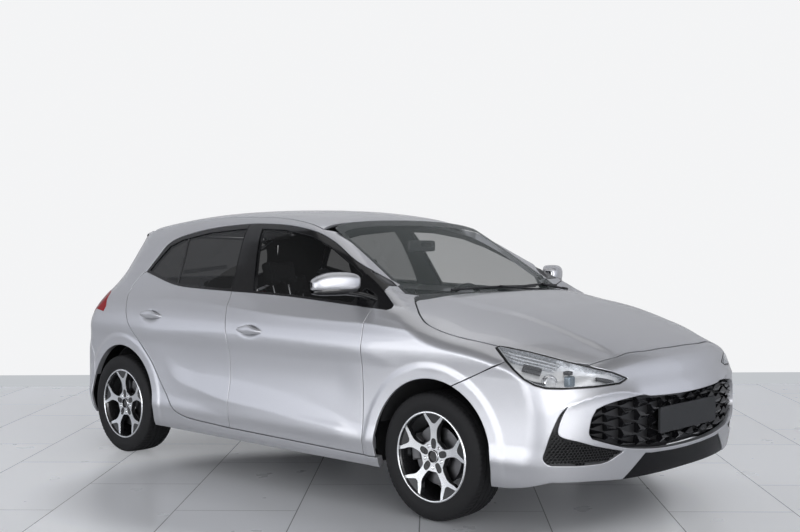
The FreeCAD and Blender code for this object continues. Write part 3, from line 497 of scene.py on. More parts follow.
# A trimmed panel: grid points inside its outline joined by triangles and put on the body
# along the layout's rays, with each free edge folded in by a small radius.
# runs: list of (3-D points, curved, kind), kind "edge" folded, "seam" left as it is.
def trimmed(layout, loops, sink=0.0, step=None, gap=None, fold=None, edgeR=None, field=None):
    base, toUv, rays = layouts[layout]
    if field is None:
        field = base
    step = step or car["step"]
    gap = car["gap"] if gap is None else gap
    fold = car["fold"] if fold is None else fold
    edgeR = car["edgeR"] if edgeR is None else edgeR
    rims = []
    folds = []
    for k, runs in enumerate(loops):
        pts, kinds = [], []
        for points, curved, kind in runs:
            q = spaced(points, car["edgeStep"], curved)[:-1]
            pts.append(q)
            kinds.append(np.full(len(q), kind == "edge"))
        uv = toUv(np.concatenate(pts))
        isEdge = np.concatenate(kinds)
        isEdge = isEdge & np.roll(isEdge, 1)
        area = signedArea(uv)
        if (area < 0) != (k > 0):
            uv = uv[::-1]
            isEdge = isEdge[::-1]
        rims.append(uv)
        folds.append(isEdge)
    outs = [outward(r) for r in rims]
    rims = [r - o * ((gap + edgeR) * e)[:, None] for r, o, e in zip(rims, outs, folds)]
    outer = rims[0]
    lo, hi = outer.min(axis=0), outer.max(axis=0)
    gu = np.arange(lo[0] + step / 2, hi[0], step)
    gv = np.arange(lo[1] + step / 2, hi[1], step)
    grid = np.stack(np.meshgrid(gu, gv, indexing="ij"), -1).reshape(-1, 2)
    grid[:, 1] += (np.arange(len(grid)) // len(gv) % 2) * step * 0.5
    keep = inPolygon(grid, outer)
    for r in rims[1:]:
        keep &= ~inPolygon(grid, r)
    grid = grid[keep]
    rimAll = np.concatenate(rims)
    far = np.ones(len(grid), bool)
    for i in range(0, len(grid), 3000):
        d = np.linalg.norm(grid[i:i + 3000, None] - rimAll[None], axis=2).min(axis=1)
        far[i:i + 3000] = d > step * 0.55
    grid = grid[far]
    verts = np.concatenate([rimAll, grid])
    starts = np.concatenate([[0], np.cumsum([len(r) for r in rims])])
    edges = np.concatenate([np.stack([np.arange(a, b), a + (np.arange(b - a) + 1) % (b - a)], 1)
                            for a, b in zip(starts[:-1], starts[1:])])
    res = delaunay_2d_cdt([Vector(v) for v in verts.tolist()], edges.tolist(), [], 0, 1e-4)
    uv = np.array([tuple(v) for v in res[0]])
    tris = np.array([t for t in res[2] if len(t) == 3], int)
    mid = uv[tris].mean(axis=1)
    keep = inPolygon(mid, outer)
    for r in rims[1:]:
        keep &= ~inPolygon(mid, r)
    tris = tris[keep]
    a = uv[tris[:, 1]] - uv[tris[:, 0]]
    b = uv[tris[:, 2]] - uv[tris[:, 0]]
    turn = (a[:, 0] * b[:, 1] - a[:, 1] * b[:, 0]) < 0
    tris[turn] = tris[turn][:, ::-1]

    def lift(q):
        origin, way, near, far = rays(q)
        p = along(field, origin, way, near, far)
        return p, normalOf(field, p)

    p, n = lift(uv)
    p = p - n * sink
    # which way the layout turns: compare one face with the surface normal
    t0 = tris[len(tris) // 2]
    face = np.cross(p[t0[1]] - p[t0[0]], p[t0[2]] - p[t0[0]])
    turned = np.dot(face, n[t0[0]]) < 0
    if turned:
        tris = tris[:, ::-1]
    bits = [(p, tris, n)]
    if fold > 0:
        for r, o, e in zip(rims, outs, folds):
            if not e.any():
                continue
            rows, rowN = [], []
            for ang in (0, 30, 60, 90):
                s, c = math.sin(math.radians(ang)), math.cos(math.radians(ang))
                q, qn = lift(r + o * edgeR * s)
                side = lift(r + o * (edgeR * s + 0.5))[0] - q
                side = side - qn * np.sum(side * qn, axis=1)[:, None]
                side /= np.maximum(np.linalg.norm(side, axis=1), 1e-9)[:, None]
                rows.append(q - qn * (sink + edgeR * (1 - c)))
                rowN.append(qn * c + side * s)
            rows.append(rows[-1] - qn * (fold - edgeR))
            rowN.append(rowN[-1])
            m = len(r)
            idx = np.arange(m)
            nxt = (idx + 1) % m
            use = e & np.roll(e, -1)
            idx, nxt = idx[use], nxt[use]
            quads = []
            for k in range(len(rows) - 1):
                quads.append(np.stack([idx + k * m, nxt + k * m, nxt + (k + 1) * m,
                                       idx + (k + 1) * m], 1)[:, ::-1])
            quads = np.concatenate(quads)
            if turned:
                quads = quads[:, ::-1]
            bits.append((np.concatenate(rows), quads, np.concatenate(rowN)))
    return bits


# A surface from a grid of points, rows by columns, optionally closed either way.
def gridFaces(rows, cols, closeRows=False, closeCols=False):
    r = np.arange(rows if closeRows else rows - 1)
    c = np.arange(cols if closeCols else cols - 1)
    rr, cc = np.meshgrid(r, c, indexing="ij")
    r2, c2 = (rr + 1) % rows, (cc + 1) % cols
    corners = [rr * cols + cc, rr * cols + c2, r2 * cols + c2, r2 * cols + cc]
    return np.stack(corners, -1).reshape(-1, 4)


# Normals of a mesh from its faces, added up at each point.
def faceNormals(points, faceSets):
    n = np.zeros_like(points)
    for f in faceSets:
        a, b, c = points[f[:, 0]], points[f[:, 1]], points[f[:, 2]]
        m = np.cross(b - a, c - a)
        if f.shape[1] == 4:
            m = m + np.cross(c - a, points[f[:, 3]] - a)
        for k in range(f.shape[1]):
            np.add.at(n, f[:, k], m)
    return n / np.maximum(np.linalg.norm(n, axis=1), 1e-12)[:, None]


# finishes: procedural, read from Object coordinates
def newMaterial(name):
    mat = bpy.data.materials.new(name)
    mat.use_nodes = True
    return mat, mat.node_tree, mat.node_tree.nodes.get("Principled BSDF")


def setShader(shader, **values):
    for key, value in values.items():
        shader.inputs[key.replace("_", " ")].default_value = value


# A shader node: an input given as a value is set, one given as an output is linked.
def addNode(tree, kind, inputs, **settings):
    node = tree.nodes.new("ShaderNode" + kind)
    for key, value in settings.items():
        setattr(node, key, value)
    for key, value in inputs.items():
        if isinstance(value, bpy.types.NodeSocket):
            tree.links.new(value, node.inputs[key])
        else:
            node.inputs[key].default_value = value
    return node


# Adds a noise that drives roughness between two values and a small bump.
def addGrain(tree, shader, scale, low, high, bump=0.0, detail=4.0, distance=0.001):
    coord = addNode(tree, "TexCoord", {})
    noise = addNode(tree, "TexNoise", {"Scale": scale, "Detail": detail,
                                       "Vector": coord.outputs["Object"]})
    spread = addNode(tree, "MapRange", {"To Min": low, "To Max": high,
                                        "Value": noise.outputs["Fac"]})
    tree.links.new(spread.outputs["Result"], shader.inputs["Roughness"])
    if bump:
        rough = addNode(tree, "Bump", {"Strength": bump, "Distance": distance,
                                       "Height": noise.outputs["Fac"]})
        tree.links.new(rough.outputs["Normal"], shader.inputs["Normal"])
    return noise


paintLook = {"base": (0.56, 0.565, 0.59, 1), "metallic": 0.72, "rough": 0.35, "flake": 900.0,
             "flakes": ((0.35, (0.93, 0.93, 0.94)), (0.68, (1.06, 1.06, 1.05)))}


def makePaint():
    mat, tree, shader = newMaterial("silverPaint")
    base, rough = paintLook["base"], paintLook["rough"]
    setShader(shader, Base_Color=base, Metallic=paintLook["metallic"], Coat_Weight=1.0,
              Coat_Roughness=0.03, Coat_IOR=1.5)
    noise = addGrain(tree, shader, paintLook["flake"], rough - 0.05, rough + 0.06, detail=1.0)
    ramp = addNode(tree, "ValToRGB", {"Fac": noise.outputs["Fac"]})
    for stop, (at, shade) in zip(ramp.color_ramp.elements, paintLook["flakes"]):
        stop.position = at
        stop.color = [b * v for b, v in zip(base, shade)] + [1]
    tree.links.new(ramp.outputs["Color"], shader.inputs["Base Color"])
    return mat


def makePlain(name, base, low, high, scale=60.0, bump=0.0, distance=0.001, **values):
    mat, tree, shader = newMaterial(name)
    setShader(shader, Base_Color=base, **values)
    addGrain(tree, shader, scale, low, high, bump, distance=distance)
    return mat


# Glass: dark body that lets light through, more mirror-like at a glancing angle.
def makeGlass(name, tint, clear, mirror, ior):
    mat, tree, shader = newMaterial(name)
    setShader(shader, Base_Color=tint, Roughness=0.01, IOR=ior)
    facing = addNode(tree, "LayerWeight", {})
    steep = addNode(tree, "Math", {0: facing.outputs["Facing"], 1: 4.0}, operation="POWER")
    spread = addNode(tree, "MapRange", {"To Min": 1 - clear, "To Max": mirror,
                                        "Value": steep.outputs[0]})
    tree.links.new(spread.outputs["Result"], shader.inputs["Alpha"])
    return mat


paint = makePaint()
glossBlack = makePlain("glossBlack", (0.006, 0.006, 0.007, 1), 0.06, 0.12, 18.0)
mouthBlack = makePlain("mouthBlack", (0.005, 0.005, 0.006, 1), 0.30, 0.38, 60.0,
                       Specular_IOR_Level=0.2)
satinBlack = makePlain("satinBlack", (0.012, 0.012, 0.013, 1), 0.34, 0.46, 220.0, 0.12, 0.0004)
plasticBlack = makePlain("grainedBlack", (0.018, 0.018, 0.019, 1), 0.5, 0.68, 900.0, 0.35, 0.0004)
insideDark = makePlain("insideDark", (0.02, 0.02, 0.021, 1), 0.6, 0.8, 400.0, 0.2, 0.0005)
rubberSeal = makePlain("rubberSeal", (0.012, 0.012, 0.012, 1), 0.55, 0.7, 500.0, 0.15, 0.0003)
clearGlass = makeGlass("clearGlass", (0.10, 0.125, 0.12, 1), 0.80, 0.95, 1.9)
darkGlass = makeGlass("darkGlass", (0.004, 0.0045, 0.005, 1), 0.15, 0.98, 1.45)
doorGlass = makeGlass("doorGlass", (0.004, 0.0045, 0.005, 1), 0.42, 0.98, 1.45)
lampGlass = makeGlass("lampGlass", (0.70, 0.72, 0.75, 1), 0.92, 0.9, 1.6)
redLens = makePlain("redLens", (0.27, 0.003, 0.005, 1), 0.1, 0.18, 40.0, Specular_IOR_Level=0.25)
chrome = makePlain("chrome", (0.86, 0.87, 0.88, 1), 0.04, 0.12, 30.0, Metallic=1.0)
machined = makePlain("machinedAlloy", (0.80, 0.81, 0.82, 1), 0.16, 0.28, 160.0, 0.05, 0.0002,
                     Metallic=1.0)
wheelBlack = makePlain("wheelBlack", (0.012, 0.012, 0.013, 1), 0.14, 0.26, 60.0, Coat_Weight=0.5)
tyreRubber = makePlain("tyreRubber", (0.013, 0.013, 0.014, 1), 0.5, 0.72, 300.0, 0.25, 0.0006,
                       Specular_IOR_Level=0.25)
castMetal = makePlain("castMetal", (0.16, 0.16, 0.165, 1), 0.45, 0.65, 260.0, 0.3, 0.0006,
                      Metallic=0.7)
discMetal = makePlain("discMetal", (0.13, 0.13, 0.135, 1), 0.25, 0.4, 90.0, Metallic=1.0)
structurePaint = makePlain("structurePaint", (0.40, 0.41, 0.43, 1), 0.35, 0.5, 60.0, Metallic=0.3)
print("finishes made")

# camera, floor and light
view = {"place": (4.629, -4.71941, 1.31678), "yaw": 2.325, "pitch": -0.041, "roll": -0.004,
        "focal": 1115.8, "low": 19.79}


def makeCamera():
    data = bpy.data.cameras.new("photoCamera")
    data.sensor_width = 36.0
    data.lens = view["focal"] * 36.0 / 800.0
    data.shift_y = view["low"] / 800.0
    data.clip_end = 200.0
    cam = bpy.data.objects.new("photoCamera", data)
    bpy.context.scene.collection.objects.link(cam)
    yaw, pitch, roll = view["yaw"], view["pitch"], view["roll"]
    ahead = Vector((math.cos(yaw) * math.cos(pitch), math.sin(yaw) * math.cos(pitch),
                    math.sin(pitch)))
    right = Vector((math.sin(yaw), -math.cos(yaw), 0))
    up = right.cross(ahead)
    right = right * math.cos(roll) + up * math.sin(roll)
    up = right.cross(ahead)
    m = Matrix.Identity(4)
    for k, axis in enumerate((right, up, -ahead)):
        for i in range(3):
            m[i][k] = axis[i]
    m.translation = Vector(view["place"])
    cam.matrix_world = m
    bpy.context.scene.camera = cam
    return ahead


ahead = makeCamera()
room = {"wallAway": 10.1, "floor": (0.74, 0.755, 0.78, 1), "wall": (0.54, 0.54, 0.545, 1),
        "wallCamera": 0.915, "band": (1.04, 1.08, 1.20, 1), "slope": (0.26, 0.26, 0.265, 1),
        "ceiling": (0.10, 0.10, 0.102, 1), "window": 1.15, "windowTo": (0.82, -0.56, 0.06),
        "tiles": {"at": (0.544, 0.93, 0), "turn": 48.4, "long": 1.18, "row": 0.6, "wide": 0.0028},
        # the next entry places, turns, sizes and scales a painted light on the floor, a glow that
        # only the camera sees
        "paintedFloorLight": {"at": (0.5, -0.6, 0), "turn": 39, "size": (2.08, 1.43, 1), "most": 0.29},
        "half": 16, "wallHigh": 9, "skirtHigh": 0.105}


# A flat sheet for the stage, from its four corners.
def flatSheet(name, corners, material):
    mesh = bpy.data.meshes.new(name)
    mesh.from_pydata(corners, [], [(0, 1, 2, 3)])
    ob = bpy.data.objects.new(name, mesh)
    bpy.context.scene.collection.objects.link(ob)
    mesh.materials.append(material)
    return ob


# A matt finish that the camera sees as an even colour, so that the wall has no shading.
def cameraWhite(name, colour, seen):
    mat, tree, shader = newMaterial(name)
    setShader(shader, Base_Color=colour, Roughness=0.9)
    glow = addNode(tree, "Emission", {"Color": (*seen, 1)})
    path = addNode(tree, "LightPath", {})
    either = addNode(tree, "Math", {0: path.outputs["Is Camera Ray"],
                                    1: path.outputs["Is Transmission Ray"]}, operation="MAXIMUM")
    mix = addNode(tree, "MixShader", {"Fac": either.outputs[0], 1: shader.outputs[0],
                                      2: glow.outputs[0]})
    # clear from behind, so that the views from that side show the car
    behind = addNode(tree, "NewGeometry", {})
    clear = addNode(tree, "BsdfTransparent", {})
    through = addNode(tree, "MixShader", {"Fac": behind.outputs["Backfacing"], 1: mix.outputs[0],
                                          2: clear.outputs[0]})
    tree.links.new(through.outputs[0], tree.nodes["Material Output"].inputs["Surface"])
    return mat


# Floor tiles: strips of tiles with dark joints, on the photographed directions.
def makeTiles():
    mat, tree, shader = newMaterial("floorTiles")
    base, joint, paintedFloorLight = room["floor"], room["tiles"], room["paintedFloorLight"]
    coord = addNode(tree, "TexCoord", {})
    place = addNode(tree, "Mapping", {"Vector": coord.outputs["Object"], "Location": joint["at"],
                                      "Rotation": (0, 0, math.radians(joint["turn"]))})
    tiles = addNode(tree, "TexBrick", {
        "Vector": place.outputs["Vector"], "Color1": base,
        "Color2": tuple(v * 0.94 for v in base[:3]) + (1,),
        "Mortar": tuple(v * 0.28 for v in base[:3]) + (1,), "Scale": 1.0,
        "Mortar Size": joint["wide"], "Mortar Smooth": 0.15, "Brick Width": joint["long"],
        "Row Height": joint["row"]})
    tree.links.new(tiles.outputs["Color"], shader.inputs["Base Color"])
    addGrain(tree, shader, 3.0, 0.24, 0.34)
    # painted light: a glow seen only by the camera brightens the floor away from the car, while the
    # shadow side near the car keeps only its real lighting
    paintedLightPlace = addNode(tree, "Mapping", {"Vector": coord.outputs["Object"], "Location": paintedFloorLight["at"],
                                       "Rotation": (0, 0, math.radians(paintedFloorLight["turn"])),
                                       "Scale": paintedFloorLight["size"]}, vector_type="TEXTURE")
    near = addNode(tree, "TexGradient", {"Vector": paintedLightPlace.outputs["Vector"]},
                   gradient_type="SPHERICAL")
    paintedLightStrength = addNode(tree, "MapRange", {"Value": near.outputs["Fac"], "From Min": 0.36,
                                          "From Max": 0.1, "To Min": 0, "To Max": paintedFloorLight["most"]},
                       interpolation_type="SMOOTHSTEP")
    path = addNode(tree, "LightPath", {})
    seen = addNode(tree, "Math", {0: paintedLightStrength.outputs["Result"],
                                  1: path.outputs["Is Camera Ray"]}, operation="MULTIPLY")
    tree.links.new(tiles.outputs["Color"], shader.inputs["Emission Color"])
    tree.links.new(seen.outputs[0], shader.inputs["Emission Strength"])
    return mat


flat = Vector((ahead.x, ahead.y, 0)).normalized()
side = Vector((-flat.y, flat.x, 0))
away = Vector((view["place"][0], view["place"][1], 0)) + flat * room["wallAway"]
flatSheet("floor", [tuple(away + side * s * room["half"] - flat * d) for s, d in
                    ((1, 22), (-1, 22), (-1, -14), (1, -14))][::-1], makeTiles())


# A sheet across the view, upright on the floor, set towards the camera by the last value.
def wallSheet(name, material, high, nearer=0.0):
    corners = [away - flat * nearer + side * s * room["half"] + Vector((0, 0, h))
               for s, h in ((1, 0), (-1, 0), (-1, high), (1, high))]
    flatSheet(name, [tuple(c) for c in corners], material)


w = room["wallCamera"]
wallSheet("backdrop", cameraWhite("paleWall", room["wall"], (w * 0.985, w * 0.99, w)),
          room["wallHigh"])
wallSheet("skirting", cameraWhite("skirting", (0.6, 0.61, 0.63, 1), (0.54, 0.56, 0.585)),
          room["skirtHigh"], 0.02)


# Surroundings by direction: a bright band round the horizon, a grey ceiling, and a window
# wall ahead of the car: ramp(z) + window * smooth(direction . windowTo).
def makeWorld():
    world = bpy.data.worlds.new("studio")
    bpy.context.scene.world = world
    world.use_nodes = True
    tree = world.node_tree
    way = addNode(tree, "TexCoord", {}).outputs["Generated"]
    parts = addNode(tree, "SeparateXYZ", {0: way})
    ramp = addNode(tree, "ValToRGB", {"Fac": parts.outputs["Z"]})
    stops = ramp.color_ramp.elements
    for stop, at, shade in zip(stops, (0.0, 0.8), ("band", "ceiling")):
        stop.position = at
        stop.color = room[shade]
    for at, shade in ((0.16, "band"), (0.4, "slope")):
        stops.new(at).color = room[shade]
    dot = addNode(tree, "VectorMath", {0: way, 1: Vector(room["windowTo"]).normalized()},
                  operation="DOT_PRODUCT")
    glow = addNode(tree, "MapRange", {"Value": dot.outputs["Value"], "From Min": 0.55,
                                      "From Max": 0.97, "To Max": room["window"]},
                   interpolation_type="SMOOTHSTEP")
    total = addNode(tree, "VectorMath", {0: ramp.outputs["Color"], 1: glow.outputs["Result"]},
                    operation="ADD")
    tree.links.new(total.outputs["Vector"], tree.nodes["Background"].inputs["Color"])


makeWorld()
lamps = {
    "over": {"place": (0.2, -0.2, 4.6), "turn": (0, 0, 0), "size": (5.0, 3.0), "power": 26},
    "front": {"place": (7.4, -3.6, 1.5), "turn": (90, 0, 64), "size": (3.4, 2.2), "power": 82},
    "right": {"place": (-0.8, -6.4, 0.85), "turn": (90, 0, 0), "size": (7.0, 1.6), "power": 78},
}
for key, lamp in lamps.items():
    data = bpy.data.lights.new(key, "AREA")
    data.shape = "RECTANGLE"
    data.size, data.size_y = lamp["size"]
    data.energy = lamp["power"]
    light = bpy.data.objects.new(key, data)
    light.visible_camera = False
    light.location = lamp["place"]
    light.rotation_euler = [math.radians(v) for v in lamp["turn"]]
    bpy.context.scene.collection.objects.link(light)
bpy.context.scene.view_settings.view_transform = "Standard"
print("stage set")

# outlines, in millimetres
windowTop = [(-1255, 1128), (-1194, 1210), (-1116, 1306), (-1004, 1348), (-746, 1392),
             (-468, 1413), (-334, 1415), (-77, 1402), (164, 1363), (324, 1309), (549, 1205),
             (772, 1092), (850, 1040), (893, 1002)]
frontCut = [(762, 262), (762, 370), (760, 578), (760, 766), (763, 850), (762, 905), (768, 940),
            (782, 984)]
middleCut = [(-288, 276), (-288, 573), (-296, 783), (-330, 922), (-350, 1034)]
pillarCut = [(-350, 1034), (-386, 1220), (-424, 1414)]
rearCut = [(-594, 287), (-712, 298), (-800, 326), (-868, 392), (-962, 490), (-1052, 602),
           (-1180, 716), (-1280, 813), (-1352, 940), (-1366, 1003), (-1342, 1055), (-1282, 1117),
           (-1255, 1128)]
lampRim = [(1529, 835), (1531, 846), (1663, 823), (1759, 796), (1830, 776), (1882, 763),
           (1915, 754), (1961, 732), (1990, 700), (1984, 681), (1939, 674), (1858, 671),
           (1807, 674), (1767, 686), (1720, 711), (1666, 750), (1607, 793)]
bonnetCut = [(1010, 0), (1004, 150), (988, 280), (957, 400), (915, 500), (872, 572), (872, 600),
             (892, 633), (918, 659), (988, 723), (1060, 775), (1121, 800), (1215, 806), (1329, 806),
             (1440, 797), (1531, 780), (1663, 726), (1759, 670), (1830, 630), (1888, 585),
             (1905, 540), (1936, 440), (1944, 366), (1964, 242), (1968, 120), (1970, 0)]
screenEdge = [(1000, 655), (1050, 641), (1140, 624), (1265, 606), (1386, 590), (1432, 585)]
grilleHole = [(0, 602), (100, 603), (315, 612), (364, 621), (502, 609), (582, 594), (627, 578),
              (650, 540), (660, 500), (662, 475), (650, 452), (570, 424), (477, 398), (347, 379),
              (200, 366), (0, 361)]
ventHole = [(746, 595), (771, 557), (798, 479), (814, 407), (820, 371), (810, 350), (795, 341),
            (694, 336), (591, 339), (559, 347), (488, 382), (632, 416), (703, 440), (762, 460),
            (778, 477), (775, 514), (760, 564)]
lowHole = [(0, 342), (120, 344), (300, 352), (342, 357), (465, 250)]
rearGlassCut = [(0, 1338), (300, 1328), (470, 1308), (505, 1292), (545, 1210), (575, 1110),
                (570, 1085), (520, 1068), (0, 1068)]
print("outlines read")


skins = {}    # each panel's outline, kept for its inside face


# The inside face of a panel: its outline again, deeper, facing inwards.
def lining(name, skin, sink, material, bodies, step=40, shut=2.0):
    layout, loops, mirror, field = skins[skin]
    runs = [[(p, c, "edge") for p, c, k in loop] for loop in loops]
    p, f, n = welded(trimmed(layout, runs, sink=sink, step=step, gap=shut, fold=0, edgeR=0,
                             field=field))
    shape = (p, [q[:, ::-1] for q in f], -n)
    pieceOrPair(name, shape, material, bodies, (), mirror)


def panelOf(name, layout, loops, material, bodies, slotName, replaces=(), mirror=True, **options):
    skins[name] = (layout, loops, mirror, options.get("field"))
    shape = welded(trimmed(layout, loops, **options))
    pieceOrPair(name, shape, material, bodies, replaces, mirror)
    print(" ", name)


# The wheel opening's circle between two heights; a side is 1 for its front half, -1 for its
# rear half.
def arch(centre, z0, z1, side0, side1):
    r = car["archR"]
    a0 = math.asin((z0 - centre[1]) / r)
    a1 = math.asin((z1 - centre[1]) / r)
    a0 = a0 if side0 > 0 else math.pi - a0
    a1 = a1 if side1 > 0 else math.pi - a1
    a = np.linspace(a0, a1, 60)
    return np.stack([centre[0] + r * np.cos(a), centre[1] + r * np.sin(a)], 1)


# doors: outer skins below the windows
frontDoors = ("front_door_left", "front_door_right")
rearDoors = ("rear_door_left", "rear_door_right")
root = ("car", "car")
beltFront = [(-350, 1034), (-110, 1029), (166, 1020), (590, 996), (782, 984)]
beltRear = [(-1255, 1128), (-961, 1066), (-824, 1049), (-600, 1040), (-350, 1034)]
panelOf("doorFrontSkin", "belt", [[
    (fromSide([(762, 262), (-288, 276)]), False, "edge"),
    (fromSide(middleCut), True, "edge"),
    (fromSide(beltFront), True, "edge"),
    (fromSide(frontCut[::-1]), True, "edge")]], paint, frontDoors, "body_paint",
    (["door_front_left"], ["door_front_right"]), fold=96, step=13)
panelOf("doorRearSkin", "belt", [[
    (fromSide([(-288, 276), (-594, 287)]), False, "edge"),
    (fromSide(rearCut), True, "edge"),
    (fromSide(beltRear), True, "edge"),
    (fromSide(middleCut[::-1]), True, "edge")]], paint, rearDoors, "body_paint",
    (["door_rear_left"], ["door_rear_right"]), fold=96, step=13)


def onRoof(xs, ys):
    return np.stack([xs, ys, roofAt(xs, ys)], 1)


# Where the roof joint runs: the side table 46 mm in, solved with the roof's own height.
def jointLine(xs):
    y = np.full(len(xs), 580.0)
    for _ in range(12):
        y = read(sideLine, roofAt(xs, y)) - 46
    return onRoof(xs, y)


def screenSide(zs):
    y = read(screenEdge, zs)
    return np.stack([screenAt(y, zs), y, zs], 1)


joint = jointLine(np.linspace(-1398, 190, 30))
sideGlass = screenSide(np.linspace(1050, joint[-1, 2] - 6, 24))
pillarFoot = np.array([[797, 748, 1064], [816, 690, 1059], [839, 643, 1050]])
bonnetLeft = fromTop(bonnetCut[5:16])

# fender
archF0 = arch(archFront, 648, 262, 1, -1)
panelOf("fender", "bodyBelt", [[
    (fromSide(frontCut), True, "edge"),
    (fromSide([(782, 984), (880, 977), (900, 986), (893, 1002), (797, 1064)]), False, "edge"),
    (pillarFoot, True, "edge"),
    (np.concatenate([pillarFoot[-1:], bonnetLeft[:1]]), False, "edge"),
    (bonnetLeft, True, "edge"),
    (fromSide(np.array([(1531, 846), (1529, 835), (1607, 793), (1620, 782)]), frontEnd), False,
     "edge"),
    (fromSide([(1620, 782), (1492, 722), tuple(archF0[0])], frontEnd), True, "edge"),
    (fromSide(archF0, frontEnd), False, "edge"),
    (fromSide([tuple(archF0[-1]), (762, 262)], frontEnd), False, "edge")]],
    paint, root, "body_paint", (["fender_left"], ["fender_right"]), step=10)

# body side in one piece: screen pillar, roof rail, rear quarter round the wheel, and the sill
rearTop = fromBack([(572, 1300), (592, 1240), (640, 1100), (655, 1010), (610, 960)])
archR0 = arch(archRear, 205, 461, 1, -1)
gateSide = onRoof(np.array([-1398.0, -1440, -1560, -1690]), np.array([588.0, 574, 572, 572]))
panelOf("bodySide", "bodyBelt", [[
    (pillarFoot[::-1], True, "edge"),
    (fromSide(windowTop[::-1][2:]), True, "edge"),
    (fromSide(rearCut[::-1]), True, "edge"),
    (fromSide([(-594, 287), (-288, 276), (762, 262)]), False, "edge"),
    (fromSide([(762, 262), (862, 262), (858, 207)]), False, "edge"),
    (fromSide([(858, 207), (-1034, 207)]), False, "edge"),
    (fromSide(archR0), False, "edge"),
    (fromSide([(-1697, 461), (-1712, 560), (-1775, 690), (-1835, 824)]), True, "edge"),
    (fromSide([(-1835, 824), (-1822, 900), (-1800, 985)]), True, "edge"),
    (np.concatenate([fromSide([(-1800, 985)]), fromBack([(700, 978), (630, 965)])]), False, "edge"),
    (rearTop[::-1], True, "edge"),
    (np.concatenate([rearTop[:1], gateSide[::-1]]), False, "edge"),
    (joint, True, "edge"),
    (np.concatenate([joint[-1:], sideGlass[-1:]]), False, "edge"),
    (sideGlass[::-1], True, "edge")]],
    paint, root, "body_paint", (["body_side_left"], ["body_side_right"]), fold=36, step=11)

# roof between the joints
ys = np.linspace(582, -582, 21)
roofFront = onRoof(223 - 30 * (ys / 560) ** 2, ys)
roofRear = onRoof(np.full(21, -1401.0), np.linspace(-578, 578, 21))
panelOf("roofSkin", "belt", [[
    (np.concatenate([joint, roofFront[:1]]), False, "edge"),
    (roofFront, True, "edge"),
    (np.concatenate([roofFront[-1:], mirrorRun(joint)]), False, "edge"),
    (np.concatenate([flipY(joint[:1]), roofRear, joint[:1]]), False, "edge")]],
    paint, "car", "body_paint", ["roof_panel"], mirror=False, step=22,
    field=lambda p: np.maximum(cabin(p), (p[:, 2] - roofAt(p[:, 0], p[:, 1]))))


# windscreen, with its printed dark border as a second sheet under the edge
def screenField(inset):
    return lambda p: (p[:, 0] - screenAt(p[:, 1], p[:, 2])) / 1.9 + inset


screenLow = np.array([[900, y, 1012] for y in np.linspace(-640, 640, 25)], float)
screenRim = [[
    (sideGlass, True, "edge"),
    (np.concatenate([sideGlass[-1:], roofFront, flipY(sideGlass[-1:])]), False, "edge"),
    (mirrorRun(sideGlass), True, "edge"),
    (np.concatenate([flipY(sideGlass[:1]), screenLow, sideGlass[:1]]), False, "edge")]]
layouts["screen"] = (screenField(1.5), faceUv, lambda uv: castRays(
    uv, (-400, uv[:, 0], uv[:, 1]), (1, 0, 0), 0, 1800))
panelOf("windscreenGlass", "screen", screenRim, clearGlass, "car", "glass_clear", ["windscreen"],
        mirror=False, step=28, gap=1.0, fold=4.5, edgeR=1.0)


# A ring between an outline and a smaller one inside it, for printed borders and seals.
def ringLoops(outer, shrink, layout):
    pts = np.concatenate([spaced(q, car["edgeStep"], c)[:-1] for q, c, k in outer])
    uv = layouts[layout][1](pts)
    if signedArea(uv) < 0:
        uv = uv[::-1]
    width = shrink(uv) if callable(shrink) else np.full(len(uv), shrink)
    return uv, uv - outward(uv) * width[:, None]


# Surfaces for outlines already given in a layout's own parameters.
def trimmedUv(layout, loops, **options):
    field, _, rays = layouts[layout]
    layouts["own"] = (field, planUv, rays)
    runs = [[(np.column_stack([np.concatenate([q, q[:1]]), np.zeros(len(q) + 1)]), False, kind)]
            for q, kind in loops]
    return trimmed("own", runs, **options)


def uvPanel(name, layout, loops, material, bodies, slotName, replaces=(), mirror=True, **options):
    shape = welded(trimmedUv(layout, loops, **options))
    pieceOrPair(name, shape, material, bodies, replaces, mirror)
    print(" ", name)


def screenBand(uv):
    return np.where(uv[:, 1] > 1340, 30, np.where(uv[:, 1] < 1060, 34, 22))


outerUv, innerUv = ringLoops(screenRim[0], screenBand, "screen")
uvPanel("screenBorder", "screen", [(outerUv, "seam"), (innerUv[::-1], "seam")], glossBlack, "car",
        "grille_black", ["cowl_and_wipers"], mirror=False, sink=3.0, fold=0, step=30)

# bonnet
bonnetRear = [(1010, 0), (1004, 150), (990, 280), (974, 400), (965, 480), (958, 560), (950, 612),
              (938, 645), (936, 664), (944, 683)]  # its rear corner stays ahead of the glass
bonnetHalf = fromTop(bonnetRear + bonnetCut[9:])
panelOf("bonnetSkin", "plan", [both([
    (bonnetHalf[:7], True, "edge"),
    (bonnetHalf[6:17], True, "edge"),
    (bonnetHalf[16:21], True, "edge"),
    (bonnetHalf[20:], True, "edge")])],
    paint, "bonnet", "body_paint", ["bonnet"], mirror=False, step=18)

